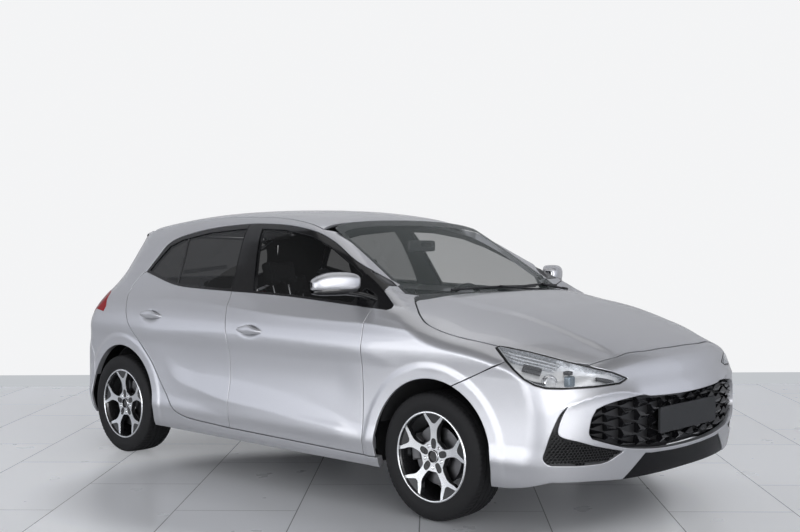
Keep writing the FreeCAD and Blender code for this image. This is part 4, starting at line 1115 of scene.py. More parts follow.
# front bumper with the holes for the grille, the corner vents and the black lower mouth
lampFront = fromSide([(1888, 763), (1915, 754), (1961, 732), (1990, 700), (1984, 681), (1939, 674),
                      (1858, 671), (1807, 674), (1767, 686), (1720, 711), (1666, 750), (1620, 782)],
                     frontEnd)
archB = arch(archFront, 214, 648, 1, 1)
bottomHalf = np.array([(0, 247), (250, 247), (465, 249), (608, 258), (783, 262)], float)
bottomLine = np.concatenate([fromFront(bottomHalf), fromSide([(1746, 240), (1640, 220),
                                                              tuple(archB[0])], frontEnd)])
noseTop = fromTop(bonnetCut[19:])
bumperHalf = [
    (noseTop[::-1], True, "edge"),
    (np.concatenate([noseTop[:1], lampFront[:1]]), False, "edge"),
    (lampFront, False, "edge"),
    (fromSide([(1620, 782), (1492, 722), tuple(archB[-1])], frontEnd), True, "edge"),
    (fromSide(archB[::-1], frontEnd), False, "edge"),
    (np.concatenate([bottomLine[:2:-1], fromFront([(465, 250)])]), False, "edge"),
    (fromFront(lowHole[::-1]), False, "edge")]
ventRuns = [(fromFront(ventHole[:7]), True, "edge"), (fromFront(ventHole[6:11]), False, "edge"),
            (fromFront(ventHole[10:] + ventHole[:1]), True, "edge")]
grilleRuns = both([(fromFront(grilleHole[:7]), True, "edge"),
                   (fromFront(grilleHole[6:11]), True, "edge"),
                   (fromFront(grilleHole[10:]), True, "edge")])
panelOf("bumperFront", "wrap", [
    both(bumperHalf), grilleRuns, ventRuns, both(ventRuns)[len(ventRuns):]],
    paint, "car", "body_paint", ["front_bumper"], mirror=False, step=10, fold=26, gap=1.2,
    edgeR=3.0)

# black sheets behind the openings
panelOf("grilleBack", "wrap", [grilleRuns], satinBlack, "car", "grille_black", ["front_grilles"],
        mirror=False, sink=48, step=30, fold=0, gap=-10)
panelOf("ventBack", "wrap", [ventRuns], satinBlack, root, "trim_black", ((), ()), sink=24,
        step=20, fold=0, gap=-10)
lowFull = both([(fromFront(lowHole[::-1]), False, "edge")]) + [
    (np.concatenate([flipY(fromFront([(465, 250), (200, 248)])),
                     fromFront([(0, 248), (200, 248), (465, 250)])]), False, "edge")]
panelOf("lowerMouth", "wrap", [lowFull], mouthBlack, "car", "trim_black", (), mirror=False,
        sink=6, step=24, fold=10, gap=-3)

# rear bumper, tailgate, its glass and the lamps
archRb = arch(archRear, 461, 214, -1, -1)
rearHalf = [
    (fromBack([(0, 662), (400, 662), (546, 668), (572, 700), (592, 826)]), False, "edge"),
    (np.concatenate([fromBack([(592, 826), (640, 836), (720, 828)]),
                     fromSide([(-1835, 824)])]), False, "edge"),
    (fromSide([(-1835, 824), (-1775, 690), (-1712, 560), (-1697, 461)]), True, "edge"),
    (fromSide(archRb), False, "edge"),
    (np.concatenate([fromSide([tuple(archRb[-1]), (-1760, 212), (-1850, 215)]),
                     fromBack([(560, 218), (300, 220), (0, 220)])]), False, "edge")]
panelOf("bumperRear", "rearWrap", [both(rearHalf)], paint, "car", "body_paint", ["rear_bumper"],
        mirror=False, step=20)
gateRuns = [(fromBack([(0, 1352), (470, 1330), (548, 1300)]), False, "seam"),
            (fromBack([(548, 1300), (592, 1240), (640, 1100), (655, 1010), (610, 960)]), True,
             "edge"),
            (fromBack([(610, 960), (596, 900), (590, 830), (570, 700), (545, 668), (0, 668)]),
             False, "edge")]
gateGlassRuns = [(fromBack(rearGlassCut[:4]), False, "edge"), (fromBack(rearGlassCut[3:]), True,
                                                               "edge")]
panelOf("gateSkin", "back", [both(gateRuns), both(gateGlassRuns)], paint, "tailgate", "body_paint",
        ["tailgate"], mirror=False, step=18)
panelOf("gateGlass", "back", [both(gateGlassRuns)], darkGlass, "tailgate", "glass_dark",
        ["tailgate_glass"], mirror=False, step=26, gap=-2, sink=3, fold=4)
lampRearRuns = [
    (fromSide([(-1837, 826), (-1824, 900), (-1803, 983)]), True, "edge"),
    (np.concatenate([fromSide([(-1803, 983)]), fromBack([(700, 976), (632, 963), (616, 930),
                                                         (608, 880), (642, 848), (720, 834)]),
                     fromSide([(-1837, 826)])]), False, "edge")]
panelOf("lampRear", "rearWrap", [lampRearRuns], redLens, root, "lamp_red",
        (["tail_lamps"], []), step=14, gap=0.5)
print("rear made")


# wheels
# Every piece is made about its own axle line with +y outboard, then set at each corner.
wheelLook = {"faceY": 83.0, "dish": 13.0, "ringIn": 205.0, "ringOut": 213.0, "spokeDeep": 24.0,
             "skin": 2.2, "treadPitch": 72, "grooveDeep": 6.5}
unit = 214.0


# y of the wheel's face: falls by the dish towards the middle with the square of the radius.
def faceY(r):
    return wheelLook["faceY"] - wheelLook["dish"] * (1 - np.clip(r / unit, 0, 1) ** 2)


def faceField(p):
    return p[:, 1] - faceY(np.hypot(p[:, 0], p[:, 2]))


layouts["rim"] = (faceField, lambda p: p[:, [0, 2]], lambda uv: castRays(
    uv, (uv[:, 0], 0, uv[:, 1]), (0, 1, 0), 0, 200))


def turnedBy(points, degrees):
    a = math.radians(degrees)
    p = np.asarray(points, float)
    return np.stack([p[:, 0] * math.cos(a) - p[:, 1] * math.sin(a),
                     p[:, 0] * math.sin(a) + p[:, 1] * math.cos(a)], 1)


def ringArc(r, a0, a1, n):
    a = np.radians(np.linspace(a0, a1, n))
    return np.stack([r * np.cos(a), r * np.sin(a)], 1)


def flat3(uv):
    return np.column_stack([uv[:, 0], np.zeros(len(uv)), uv[:, 1]])


# right-hand edge of the upright spoke, hub to ring, in parts of the unit radius
spokeEdge = np.array([(0.175, 0.29), (0.108, 0.34), (0.090, 0.43), (0.090, 0.53), (0.105, 0.625),
                      (0.155, 0.715), (0.225, 0.80), (0.290, 0.905)]) * unit
forkEdge = np.array([(0.0, 0.735), (0.040, 0.745), (0.085, 0.785), (0.150, 0.85),
                     (0.225, 0.925)]) * unit
kiteEdge = np.array([(0.0, 0.40), (0.050, 0.385), (0.074, 0.29), (0.052, 0.185),
                     (0.0, 0.165)]) * unit


def mirroredPath(points):
    return np.concatenate([points, points[::-1][1:] * np.array([-1, 1])])


# The opening between one spoke and the next clockwise, whose side is this one's mirror image.
def windowLoop(k):
    a = turnedBy(spokeEdge, 72 * k)
    b = turnedBy(spokeEdge * np.array([-1, 1]), 72 * k - 72)
    end = math.degrees(math.atan2(a[-1, 1], a[-1, 0]))
    start = math.degrees(math.atan2(b[-1, 1], b[-1, 0]))
    arc = ringArc(wheelLook["ringIn"], end, end - ((end - start) % 360), 14)
    return [(flat3(np.concatenate([a, arc[1:-1]])), False, "edge"),
            (flat3(np.concatenate([arc[-2:-1], b[::-1], a[:1]])), False, "edge")]


def closedLoop(points):
    return [(flat3(np.concatenate([points, points[:1]])), False, "edge")]


def softened(points):
    return spaced(flat3(points), 5, True)[:, [0, 2]]


spokeEdge = softened(spokeEdge)
forkEdge = softened(forkEdge)
kiteEdge = softened(kiteEdge)
# forkEdge runs apex to corner; the loop is corner, apex, corner, then back along the ring
tip = math.degrees(math.atan2(forkEdge[-1, 1], forkEdge[-1, 0]))
fork = np.concatenate([mirroredPath(forkEdge[::-1]),
                       ringArc(0.955 * unit, 180 - tip, tip, 10)[1:-1]])
kite = mirroredPath(kiteEdge)[:-1]
windows5 = [windowLoop(k) for k in range(5)]
forks5 = [closedLoop(turnedBy(fork, 72 * k)) for k in range(5)]
kites5 = [closedLoop(turnedBy(kite, 72 * k)) for k in range(5)]
outerRing = closedLoop(ringArc(wheelLook["ringOut"], 0, 360, 121)[:-1])
capHole = closedLoop(ringArc(31.0, 0, 360, 41)[:-1])
machinedBits = trimmed("rim", [outerRing, capHole] + windows5 + forks5 + kites5, step=9, gap=0.6,
                       fold=wheelLook["skin"] + 1, edgeR=0.5)
lipProfile = [(83, 203), (90.5, 204.5), (92, 207), (92, 211.5), (90, 216), (84, 216.5)]
castBits = trimmed("rim", [outerRing] + windows5, sink=wheelLook["skin"], step=14, gap=0,
                   fold=wheelLook["spokeDeep"], edgeR=2.0)


# Surface of revolution about the y axis: profile points (y, r) turned in n steps.
def revolved(profile, n, close=False, start=0.0, share=1.0):
    p = np.asarray(profile, float)
    whole = share >= 1.0
    a = start + 2 * math.pi * share * np.arange(n) / (n if whole else n - 1)
    y, aa = np.meshgrid(p[:, 0], a, indexing="ij")
    r = np.repeat(p[:, 1:2], n, axis=1)
    pts = np.stack([r * np.cos(aa), y, r * np.sin(aa)], -1).reshape(-1, 3)
    return pts, gridFaces(len(p), n, close, whole)


def bitOf(points, faces):
    return (points, faces, faceNormals(points, [faces]))


# Turns faces over where the piece, closed, would have its normals inwards.
def outwardBit(points, faces):
    a, b, c = points[faces[:, 0]], points[faces[:, 1]], points[faces[:, 2]]
    volume = np.sum(a * np.cross(b, c))
    if faces.shape[1] == 4:
        d = points[faces[:, 3]]
        volume += np.sum(a * np.cross(c, d))
    if volume < 0:
        faces = faces[:, ::-1]
    return bitOf(points, faces)


# A flat ring about the axle with its outer edges cut off.
def disc(y0, y1, r0, r1, n=48, chamfer=1.0):
    c = chamfer
    profile = [(y0, r0), (y0, r1 - c), (y0 + c, r1), (y1 - c, r1), (y1, r1 - c), (y1, r0)]
    return outwardBit(*revolved(profile, n, True))


barrelProfile = [(86.5, 213.5), (88.5, 217.5), (89, 220), (86, 220.5), (84, 209), (76, 206),
                 (60, 199), (0, 197), (-70, 199), (-80, 206), (-86, 220), (-88, 219),
                 (-84, 203), (-70, 195), (0, 193), (58, 194.5), (76, 202), (82, 206), (84.5, 211)]
castBits += [outwardBit(*revolved(barrelProfile, 96, True)), disc(36, 70, 0.01, 62, 48, 4)]
nuts = []
for k in range(5):
    a = math.radians(90 + 36 + 72 * k)
    cx, cz = 54 * math.cos(a), 54 * math.sin(a)
    p, f, n = outwardBit(*revolved([(52, 0.01), (52, 9.5), (72, 9.5), (74, 7.5), (74, 0.01)], 6))
    nuts.append((p + np.array([cx, 0, cz]), f, n))
capBits = [disc(66, 75.5, 0.01, 29.5, 48, 2.0)]
capRing = [outwardBit(*revolved([(72, 27), (76.5, 27.6), (77, 29), (76.3, 30.6), (72, 31)], 48,
                                True))]
discBits = [disc(20, 31, 70, 141, 72), disc(13, 18, 70, 141, 72), disc(10, 40, 0.01, 72, 48, 3)]


# Box with its twelve edges rounded: a superellipsoid grid pushed to the box's half sizes.
def softBox(low, high, power=0.18, rows=13, cols=24):
    low, high = np.asarray(low, float), np.asarray(high, float)
    u = np.linspace(-math.pi / 2, math.pi / 2, rows)[:, None]
    v = (np.arange(cols) * 2 * math.pi / cols)[None]
    x = squared(np.cos(u), power) * squared(np.cos(v), power)
    y = squared(np.cos(u), power) * squared(np.sin(v), power)
    z = squared(np.sin(u), power) * np.ones_like(v)
    p = np.stack([x, y, z], -1).reshape(-1, 3)
    return outwardBit((low + high) / 2 + p * (high - low) / 2, gridFaces(rows, cols, False, True))


# Calliper: a block bent round the disc's edge, cut from a revolved slab.
def calliper(a0, a1):
    profile = [(2, 108), (2, 152), (8, 158), (42, 158), (48, 152), (48, 108)]
    n = 15
    p, f = revolved(profile, n, True, math.radians(a0), (a1 - a0) / 360)
    caps = np.array([[0, 5, 4, 1], [1, 4, 3, 2]]) * n
    return outwardBit(p, np.concatenate([f, caps, caps[:, [0, 3, 2, 1]] + n - 1]))


# Tyre: a closed profile turned round, with grooves pressed in by angle and by width.
def tyreShape():
    outer = [(84.5, 207), (88.5, 216), (91.5, 221), (95, 232), (97.2, 246), (97.5, 258),
             (96.3, 271), (93.5, 283), (90.2, 290.5), (87.5, 295), (84, 298.2), (79, 300.4)]
    tread = [(70, 301.6), (58, 302.3), (53.5, 302.6), (53.0, 303), (45.2, 303), (44.7, 302.9),
             (20, 303.7), (19.3, 303.8), (11.5, 303.8), (11, 303.8)]
    inside = [(84.5, 207), (60, 204.5), (0, 203), (-60, 204.5), (-84.5, 207)]
    prof = np.array(outer + tread + [(-y, r) for y, r in reversed(outer + tread)])
    y, r = np.abs(prof[:, :1]), prof[:, 1:]
    n = wheelLook["treadPitch"] * 4
    pts, faces = revolved(prof, n)
    pts = pts.reshape(len(prof), n, 3)
    radial = pts * np.array([1, 0, 1])
    radial /= np.linalg.norm(radial, axis=2)[..., None]
    a = np.arange(n)[None]
    groove = ((y > 45.0) & (y < 53.2)) | ((y > 11.4) & (y < 19.5))
    # slots across the shoulder blocks: one narrow step in every four
    slot = ((a + np.round(y * 0.03).astype(int)) % 4 == 0) & (y > 53.4) & (r > 289)
    inner = ((a + 2) % 8 == 0) & (y > 20.0) & (y < 44.8)
    depth = np.maximum(groove * wheelLook["grooveDeep"], np.maximum(slot * 3.2, inner * 3.0))
    pts = (pts - radial * depth[..., None]).reshape(-1, 3)
    back, backFaces = revolved(inside, n)
    return [outwardBit(np.concatenate([pts, back]),
                       np.concatenate([faces, backFaces[:, ::-1] + len(pts)]))]


tyreBits = tyreShape()
machinedBits.append(outwardBit(*revolved(lipProfile, 120, True)))


# Bits turned about the axle, mirrored where the side is -1, and moved to a wheel's place.
def placed(bits, x, side, spin=0.0):
    a = math.radians(spin)
    turn = np.array([[math.cos(a), 0, math.sin(a)], [0, 1, 0], [-math.sin(a), 0, math.cos(a)]])
    out = []
    for p, f, n in bits:
        p, n = p @ turn.T, n @ turn.T
        if side < 0:
            p, n, f = p * mirrorY, n * mirrorY, f[:, ::-1]
        out.append((p + np.array([x, car["trackY"] * side, car["hubZ"]]), f, n))
    return out


spins = {"front": (0.0, 3.0), "rear": (12.0, -5.0)}
for end in ("front", "rear"):
    for k, (side, hand) in enumerate(((1, "left"), (-1, "right"))):
        x = car[end + "AxleX"]
        spin = spins[end][k]
        wheel = "wheel_" + end + "_" + hand
        tag = end.capitalize() + hand.capitalize()
        rim = "rim_" + end + "_" + hand
        for name, bits, material, slotName, nodes in (
                ("wheelFace", machinedBits, machined, "rim_alloy", [rim]),
                ("wheelCasting", castBits, wheelBlack, "rim_alloy", ()),
                ("wheelCap", capBits, wheelBlack, "rim_alloy", ()),
                ("wheelNuts", nuts + capRing, chrome, "steel", ())):
            setPiece(name + tag, placed(bits, x, side, spin), material, wheel, nodes)
        setPiece("brakeDisc" + tag, placed(discBits, x, side), discMetal, wheel)
        setPiece("tyreSkin" + tag, placed(tyreBits, x, side, spin), tyreRubber, wheel,
                 ["tyre_" + end + "_" + hand])
        start = 145 if end == "front" else 20
        setPiece("calliper" + tag, placed([calliper(start, start + 50)], x, side), castMetal,
                 ("hub_" + hand) if end == "front" else "car")
print("wheels made")


# door frames, side glass, mirrors and handles
frontGlass = [(-285, 1385), (-77, 1376), (155, 1338), (312, 1286), (538, 1182), (622, 1139),
              (632, 1008), (590, 1009), (166, 1032), (-110, 1041), (-168, 1043), (-236, 1235)]
rearGlass = [(-424, 1388), (-746, 1366), (-997, 1323), (-1098, 1284), (-1174, 1198), (-1224, 1138),
             (-961, 1079), (-824, 1062), (-600, 1053), (-368, 1048), (-376, 1147), (-398, 1278)]


def closedSide(points):
    return [(fromSide(points + points[:1]), False, "edge")]


frontTop = [p for p in windowTop if p[0] > -420]
rearTopEdge = [p for p in windowTop if p[0] < -430]
frameFront = [(fromSide([(-424, 1413)] + frontTop + [(893, 1002)]), True, "edge"),
              (fromSide([(893, 1002), (900, 986), (880, 977)]), True, "edge"),
              (fromSide([(880, 977), (782, 984)] + beltFront[::-1][1:]), True, "edge"),
              (fromSide(pillarCut), True, "edge")]
frameRear = [(fromSide(rearTopEdge + [(-430, 1414)]), True, "edge"),
             (fromSide(pillarCut[::-1]), True, "edge"),
             (fromSide(beltRear[::-1]), True, "edge")]
panelOf("windowFrameFront", "belt", [frameFront, closedSide(frontGlass)], glossBlack, frontDoors,
        "trim_black", ((), ()), sink=3.0, fold=27, step=22, gap=1.2)
panelOf("windowFrameRear", "belt", [frameRear, closedSide(rearGlass)], glossBlack, rearDoors,
        "trim_black", ((), ()), sink=3.0, fold=27, step=22, gap=1.2)
panelOf("doorGlassFront", "belt", [closedSide(frontGlass)], doorGlass, frontDoors, "glass_dark",
        (["glass_front_left"], ["glass_front_right"]), sink=9, fold=0, gap=-3, step=34)
panelOf("doorGlassRear", "belt", [closedSide(rearGlass)], darkGlass, rearDoors, "glass_dark",
        (["glass_rear_left"], ["glass_rear_right"]), sink=9, fold=0, gap=-3, step=34)
barLine = np.array([(-938, 1333), (-903, 1191), (-889, 1068)])
barLoop = np.concatenate([barLine + np.array([8, 0]), (barLine + np.array([-8, 0]))[::-1]])
panelOf("rearDivider", "belt", [closedSide([tuple(q) for q in barLoop])], satinBlack, rearDoors,
        "trim_black", ((), ()), sink=6.5, fold=5, gap=0, step=20, edgeR=1.0)


# Loft: a section given at each of several stations, each a closed ring of points.
def loft(rings):
    rings = np.asarray(rings, float)
    rows, cols = rings.shape[:2]
    last = rows * cols
    i = np.arange(cols)
    j = (i + 1) % cols
    cap0 = np.stack([j, i, np.full(cols, last), np.full(cols, last)], 1)
    cap1 = np.stack([i, j, np.full(cols, last + 1), np.full(cols, last + 1)], 1)
    cap1[:, :2] += (rows - 1) * cols
    pts = np.concatenate([rings.reshape(-1, 3), rings[[0, -1]].mean(axis=1)])
    return outwardBit(pts, np.concatenate([gridFaces(rows, cols, False, True), cap0, cap1]))


# Mirror: superellipsoid along the line from its inner to its outer end, flat at the back,
# lower at the outer end, with a flat underside.
mirrorLook = {"inner": (676.0, 806.0), "outer": (566.0, 1028.0), "deep": 118.0, "low": 1058.0,
              "top": 1160.0}


def mirrorShell(low, top, grow):
    a, b = np.array(mirrorLook["inner"]), np.array(mirrorLook["outer"])
    length = np.linalg.norm(b - a)
    out = (b - a) / length
    back = np.array([-out[1], out[0]])
    u = np.linspace(-math.pi / 2, math.pi / 2, 25)[:, None]
    v = (np.arange(48) * 2 * math.pi / 48)[None]
    s = squared(np.sin(u), 0.75) * np.ones_like(v)
    c = squared(np.cos(u), 0.42)
    d = c * squared(np.cos(v), 0.6)
    h = c * squared(np.sin(v), 0.62)
    d = np.where(d > 0, np.minimum(d, 0.62), d) * (mirrorLook["deep"] / 2 + grow)
    half = (top - low) / 2 * (1 - 0.26 * np.clip(s, 0, 1) ** 2 - 0.05 * np.clip(-s, 0, 1) ** 3)
    z = low + half + half * np.maximum(h, -0.93)
    xy = (a + b) / 2 + s[..., None] * (length / 2 + grow) * out + (d + 6)[..., None] * back
    p = np.concatenate([xy, z[..., None]], -1).reshape(-1, 3)
    return outwardBit(p, gridFaces(25, 48, False, True))


capShell = mirrorShell(mirrorLook["low"], mirrorLook["top"], 0)
baseShell = mirrorShell(1042.0, 1100.0, -4.0)
armStations = []
for t in np.linspace(0, 1, 9):
    mid = np.array([752, 742, 1010]) * (1 - t) + np.array([640, 880, 1056]) * t
    mid[2] += 10 * math.sin(math.pi * t)
    w, h = 34 + 14 * (1 - t), 13 + 9 * (1 - t)
    a = np.arange(20) * 2 * math.pi / 20
    ring = mid + np.stack([w * np.cos(a), 0.5 * w * np.cos(a), h * np.sin(a)], 1)
    armStations.append(ring)
armBit = loft(armStations)
p, f, n = mirrorShell(1066.0, 1150.0, -7.0)
mirrorGlass = (p + np.array([-2.5, 1.2, 0]) * 3.2, f, n)
bothSides("mirrorCap", [capShell], paint, frontDoors,
          (["mirror_left"], ["mirror_right"]))
bothSides("mirrorBase", [baseShell, armBit], glossBlack, frontDoors)
bothSides("mirrorGlass", [mirrorGlass], chrome, frontDoors)

# handles: a bar over a dished cup, set along the door's own surface
handleSpots = {"Front": (-100, 830, 108, -0.02), "Rear": (-1045, 872, 118, -0.02)}


def handleBits(x0, z0, halfLong, tilt):
    s = np.linspace(-1, 1, 26)
    x = x0 + halfLong * s
    z = z0 + halfLong * s * tilt + 5 - 7 * np.abs(s)
    base = fromSide(np.stack([x, z], 1))
    nrm = normalOf(cabin, base)
    lift = 26 * (1 - np.abs(s) ** 2.6) - 4
    a = np.arange(20) * 2 * math.pi / 20
    up = np.array([0, 0, 1.0])
    wide = 20 * (1 - np.abs(s) ** 1.5) + 6
    thick = 9 * np.sqrt(np.clip(1 - np.abs(s) ** 6, 0.05, 1))
    centre = base + nrm * lift[:, None]
    sq, sz = squared(np.cos(a), 1.2), squared(np.sin(a), 1.2)
    rings = centre[:, None] + up * (wide[:, None] * sz[None])[..., None] \
        + nrm[:, None] * (thick[:, None] * sq[None])[..., None]
    return [loft(rings)]


for end, bodies in (("Front", frontDoors), ("Rear", rearDoors)):
    bothSides("handle" + end, handleBits(*handleSpots[end]), paint, bodies)
print("glass, mirrors and handles made")

# headlamps
lampBright = makePlain("lampReflector", (0.88, 0.89, 0.90, 1), 0.16, 0.3, 30.0, Metallic=0.45)
lampGrey = makePlain("lampGrey", (0.55, 0.57, 0.60, 1), 0.2, 0.34, 60.0, Metallic=0.5)
lampDark = makePlain("lampDark", (0.03, 0.032, 0.036, 1), 0.15, 0.3, 60.0)
lampBlue = makePlain("lampBlue", (0.20, 0.25, 0.29, 1), 0.12, 0.25, 40.0, Metallic=0.4)
plateDark = makePlain("plateCharcoal", (0.016, 0.017, 0.019, 1), 0.45, 0.58, 120.0, 0.05, 0.0003)
rimPoints = fromSide(lampRim, frontEnd)
lampRuns = [(np.concatenate([rimPoints, rimPoints[:1]]), False, "edge")]
lampOuter, lampInner = ringLoops(lampRuns, 6.5, "wrap")
uvPanel("lampBezel", "wrap", [(lampOuter, "edge"), (lampInner[::-1], "edge")], glossBlack, root,
        "trim_black", fold=12, step=12, gap=1.0, edgeR=1.0, sink=0.6)
panelOf("lampLens", "wrap", [lampRuns], lampGlass, root, "lamp_clear",
        (["headlamp_lenses"], []), sink=1.6, fold=0, gap=3.5, step=16)
panelOf("lampBowl", "wrap", [lampRuns], lampBright, root, "lamp_inside", (["headlamps"], []),
        sink=34, fold=0, gap=-4, step=14)
uvPanel("lampSides", "wrap", [(lampInner, "edge"), (lampInner - outward(lampInner) * 1.5, "seam")],
        lampGrey, root, "lamp_inside", fold=36, step=12, gap=0, edgeR=0.6, sink=1.0)


# Slab between two lines of points, as thick as asked towards the inside.
def slab(a, b, thick, inside):
    return loft(np.stack([a, b, b + inside * thick, a + inside * thick], 1))


# A smooth line drawn on the side of the nose, sunk into it, with the surface's normals.
def surfaceLine(points, sink):
    q = spaced(fromSide(points, frontEnd), 8, True)
    q = fromSide(q[:, [0, 2]], frontEnd)
    n = normalOf(frontEnd, q)
    return q - n * sink, n


# A slab between two lines on the nose, sunk by different amounts.
def shelf(upper, lower, sinkA, sinkB, thick):
    a, n = surfaceLine(upper, sinkA)
    b = surfaceLine(lower, sinkB)[0]
    m = min(len(a), len(b))
    return slab(a[:m], b[:m], thick, -n[:m])


ribs = []
for t0, t1 in ((0.16, 0.26), (0.42, 0.52), (0.68, 0.76)):
    top = np.array([(1546, 840), (1663, 817), (1759, 790), (1800, 778)], float)
    low = np.array([(1592, 798), (1672, 774), (1740, 758), (1790, 745)], float)
    ribs.append(shelf(top * (1 - t0) + low * t0, top * (1 - t1) + low * t1, 9, 13, 12))
bothSides("lampRibs", ribs, lampGrey)


def onLamp(x, z, sink):
    q = fromSide([(x, z)], frontEnd)
    return (q - normalOf(frontEnd, q) * sink)[0]


# A revolved profile stood on a point with its axis along the given direction.
def stood(profile, n, point, direction):
    p, f = revolved(profile, n)
    w = np.asarray(direction, float) / np.linalg.norm(direction)
    u = np.cross([0, 0, 1.0], w)
    u /= np.linalg.norm(u)
    v = np.cross(w, u)
    p = p[:, 0:1] * u + p[:, 1:2] * w + p[:, 2:3] * v + np.asarray(point)
    return outwardBit(p, f)


eyeWay = np.array([0.93, 0.36, 0.0])
eye = onLamp(1812, 711, 30)
blockAt = onLamp(1868, 712, 26)
boxAt = onLamp(1836, 748, 22)
bothSides("lampProjector", [stood([(0, 0.01), (0, 25), (3, 25), (13, 20), (19, 12), (21, 0.01)], 36,
                                  eye + eyeWay * 4, eyeWay)], lampGlass)
bothSides("lampProjectorRing", [stood([(-20, 24), (8, 26.5), (9, 31), (-2, 36), (-20, 34),
                                       (-20, 24)], 36, eye, eyeWay)], chrome)
bothSides("lampBlocks", [softBox(blockAt - [16, 26, 27], blockAt + [16, 20, 24], 0.3)], lampBlue)
bothSides("lampBoxes", [softBox(boxAt - [14, 18, 8], boxAt + [22, 10, 9], 0.3)], lampDark)
shades = [shelf(line, [(x + 6, z - 16) for x, z in line], sink, sink + 6, 14) for line, sink in (
    ([(1640, 775), (1690, 735), (1740, 712), (1790, 700)], 12),
    ([(1688, 778), (1722, 768), (1756, 757)], 10),
    ([(1936, 716), (1958, 706), (1974, 694)], 8))]
bothSides("lampShades", shades, lampDark)
print("lamps made")

# grille blades, plate, corner vents
grilleTop = [(0, 600), (315, 610), (364, 619), (502, 607), (582, 592), (627, 576), (654, 525),
             (664, 481)]
grilleLow = [(0, 373), (81, 373), (347, 381), (477, 400), (570, 428), (654, 457), (664, 481)]
bladeLook = {"columns": [0, 70, 140, 210, 290, 385, 485, 575, 640], "rows": 4, "rise": 17.0,
             "back": 30.0, "fill": 0.80}


# A point behind the nose: y, its share of the height between the two grille edges, and depth.
def grilleAt(y, t, sink):
    low = read(grilleLow, y)
    p = fromFront([(y, low + (read(grilleTop, y) - low) * t)])
    return (p - normalOf(frontEnd, p) * sink)[0]


blades = []
cols, rows = bladeLook["columns"], bladeLook["rows"]
back, rise = bladeLook["back"], bladeLook["rise"]
facets = np.array([[0, 1, 2], [0, 2, 3], [0, 4, 5], [0, 5, 1], [0, 3, 6], [0, 6, 4], [1, 5, 2],
                   [3, 2, 6], [5, 6, 2], [4, 6, 5]])
for i, (y0, y1) in enumerate(zip(cols, cols[1:])):
    shift = 0.5 * (i % 2) / rows
    for j in range(-1, rows + 1):
        t0, t1 = max(j / rows + shift, 0.0), min((j + 1) / rows + shift, 1.0)
        if t1 - t0 < 0.25 / rows:
            continue
        mid, spare = (t0 + t1) / 2, (t1 - t0) * (1 - bladeLook["fill"]) / 2
        high, low = t1 - spare, t0 + spare
        pts = np.array([grilleAt(*spot) for spot in (
            (y0 + 4, mid, back - rise * 0.45), (y1, high, back - 2), (y1 - 3, mid, back - rise),
            (y1, low, back - 2), (y0, mid, back + 14), (y1, high, back + 16),
            (y1, low, back + 16))])
        # flat facets: each face keeps its own three points
        p = pts[facets].reshape(-1, 3)
        blades.append(outwardBit(p, np.arange(len(p)).reshape(-1, 3)))
mirroredBlades = [(p * mirrorY, f[:, ::-1], n * mirrorY) for p, f, n in blades]


def unwelded(bits):
    points = np.concatenate([b[0] for b in bits])
    offsets = np.cumsum([0] + [len(b[0]) for b in bits[:-1]])
    faces = np.concatenate([b[1] + o for b, o in zip(bits, offsets)])
    normals = np.concatenate([b[2] for b in bits])
    return points, [faces], normals


piece("grilleBlades", buildMesh("grilleBlades", *unwelded(blades + mirroredBlades)), glossBlack,
      "car")
setPiece("plateBlank", [softBox([2040, -262, 437], [2052.4, 262, 556], 0.06, 17, 48)], plateDark,
         "car")

# honeycomb: six-sided cells whose walls stand off the back sheet, kept inside the vent
pitch, wall, deep = 13.5, 0.74, 11.0
gy, gz = np.meshgrid(np.arange(480, 830, pitch), np.arange(330, 600, pitch * 0.866), indexing="ij")
gy = gy + (np.arange(gz.shape[1]) % 2)[None] * pitch / 2
cells = np.stack([gy.ravel(), gz.ravel()], 1)
ventUv = np.array(ventHole, float)
if signedArea(ventUv) < 0:
    ventUv = ventUv[::-1]
cells = cells[inPolygon(cells, ventUv - outward(ventUv) * 5.0)]
ang = np.radians(np.arange(6) * 60 + 30)
hexRing = pitch * 0.577 * np.stack([np.cos(ang), np.sin(ang)], 1)[None]
outerHex = cells[:, None] + hexRing
innerHex = cells[:, None] + hexRing * wall


def ventPoints(q, sink):
    p = fromFront(q.reshape(-1, 2))
    return p - normalOf(frontEnd, p) * sink


hexPoints = np.concatenate([ventPoints(outerHex, 8), ventPoints(innerHex, 7),
                            ventPoints(innerHex, 7 + deep)])
count = len(cells) * 6
i = np.arange(count).reshape(-1, 6)
j = np.roll(i, -1, axis=1)
hexFaces = [np.stack(corners, -1).reshape(-1, 4) for corners in (
    (i, j, j + count, i + count), (i + count, j + count, j + count * 2, i + count * 2))]
hexN = faceNormals(hexPoints, hexFaces)
if hexN[0, 0] < 0:
    hexFaces = [f[:, ::-1] for f in hexFaces]
    hexN = -hexN
pieceOrPair("ventMesh", (hexPoints, hexFaces, hexN), satinBlack, root)
print("grille made")


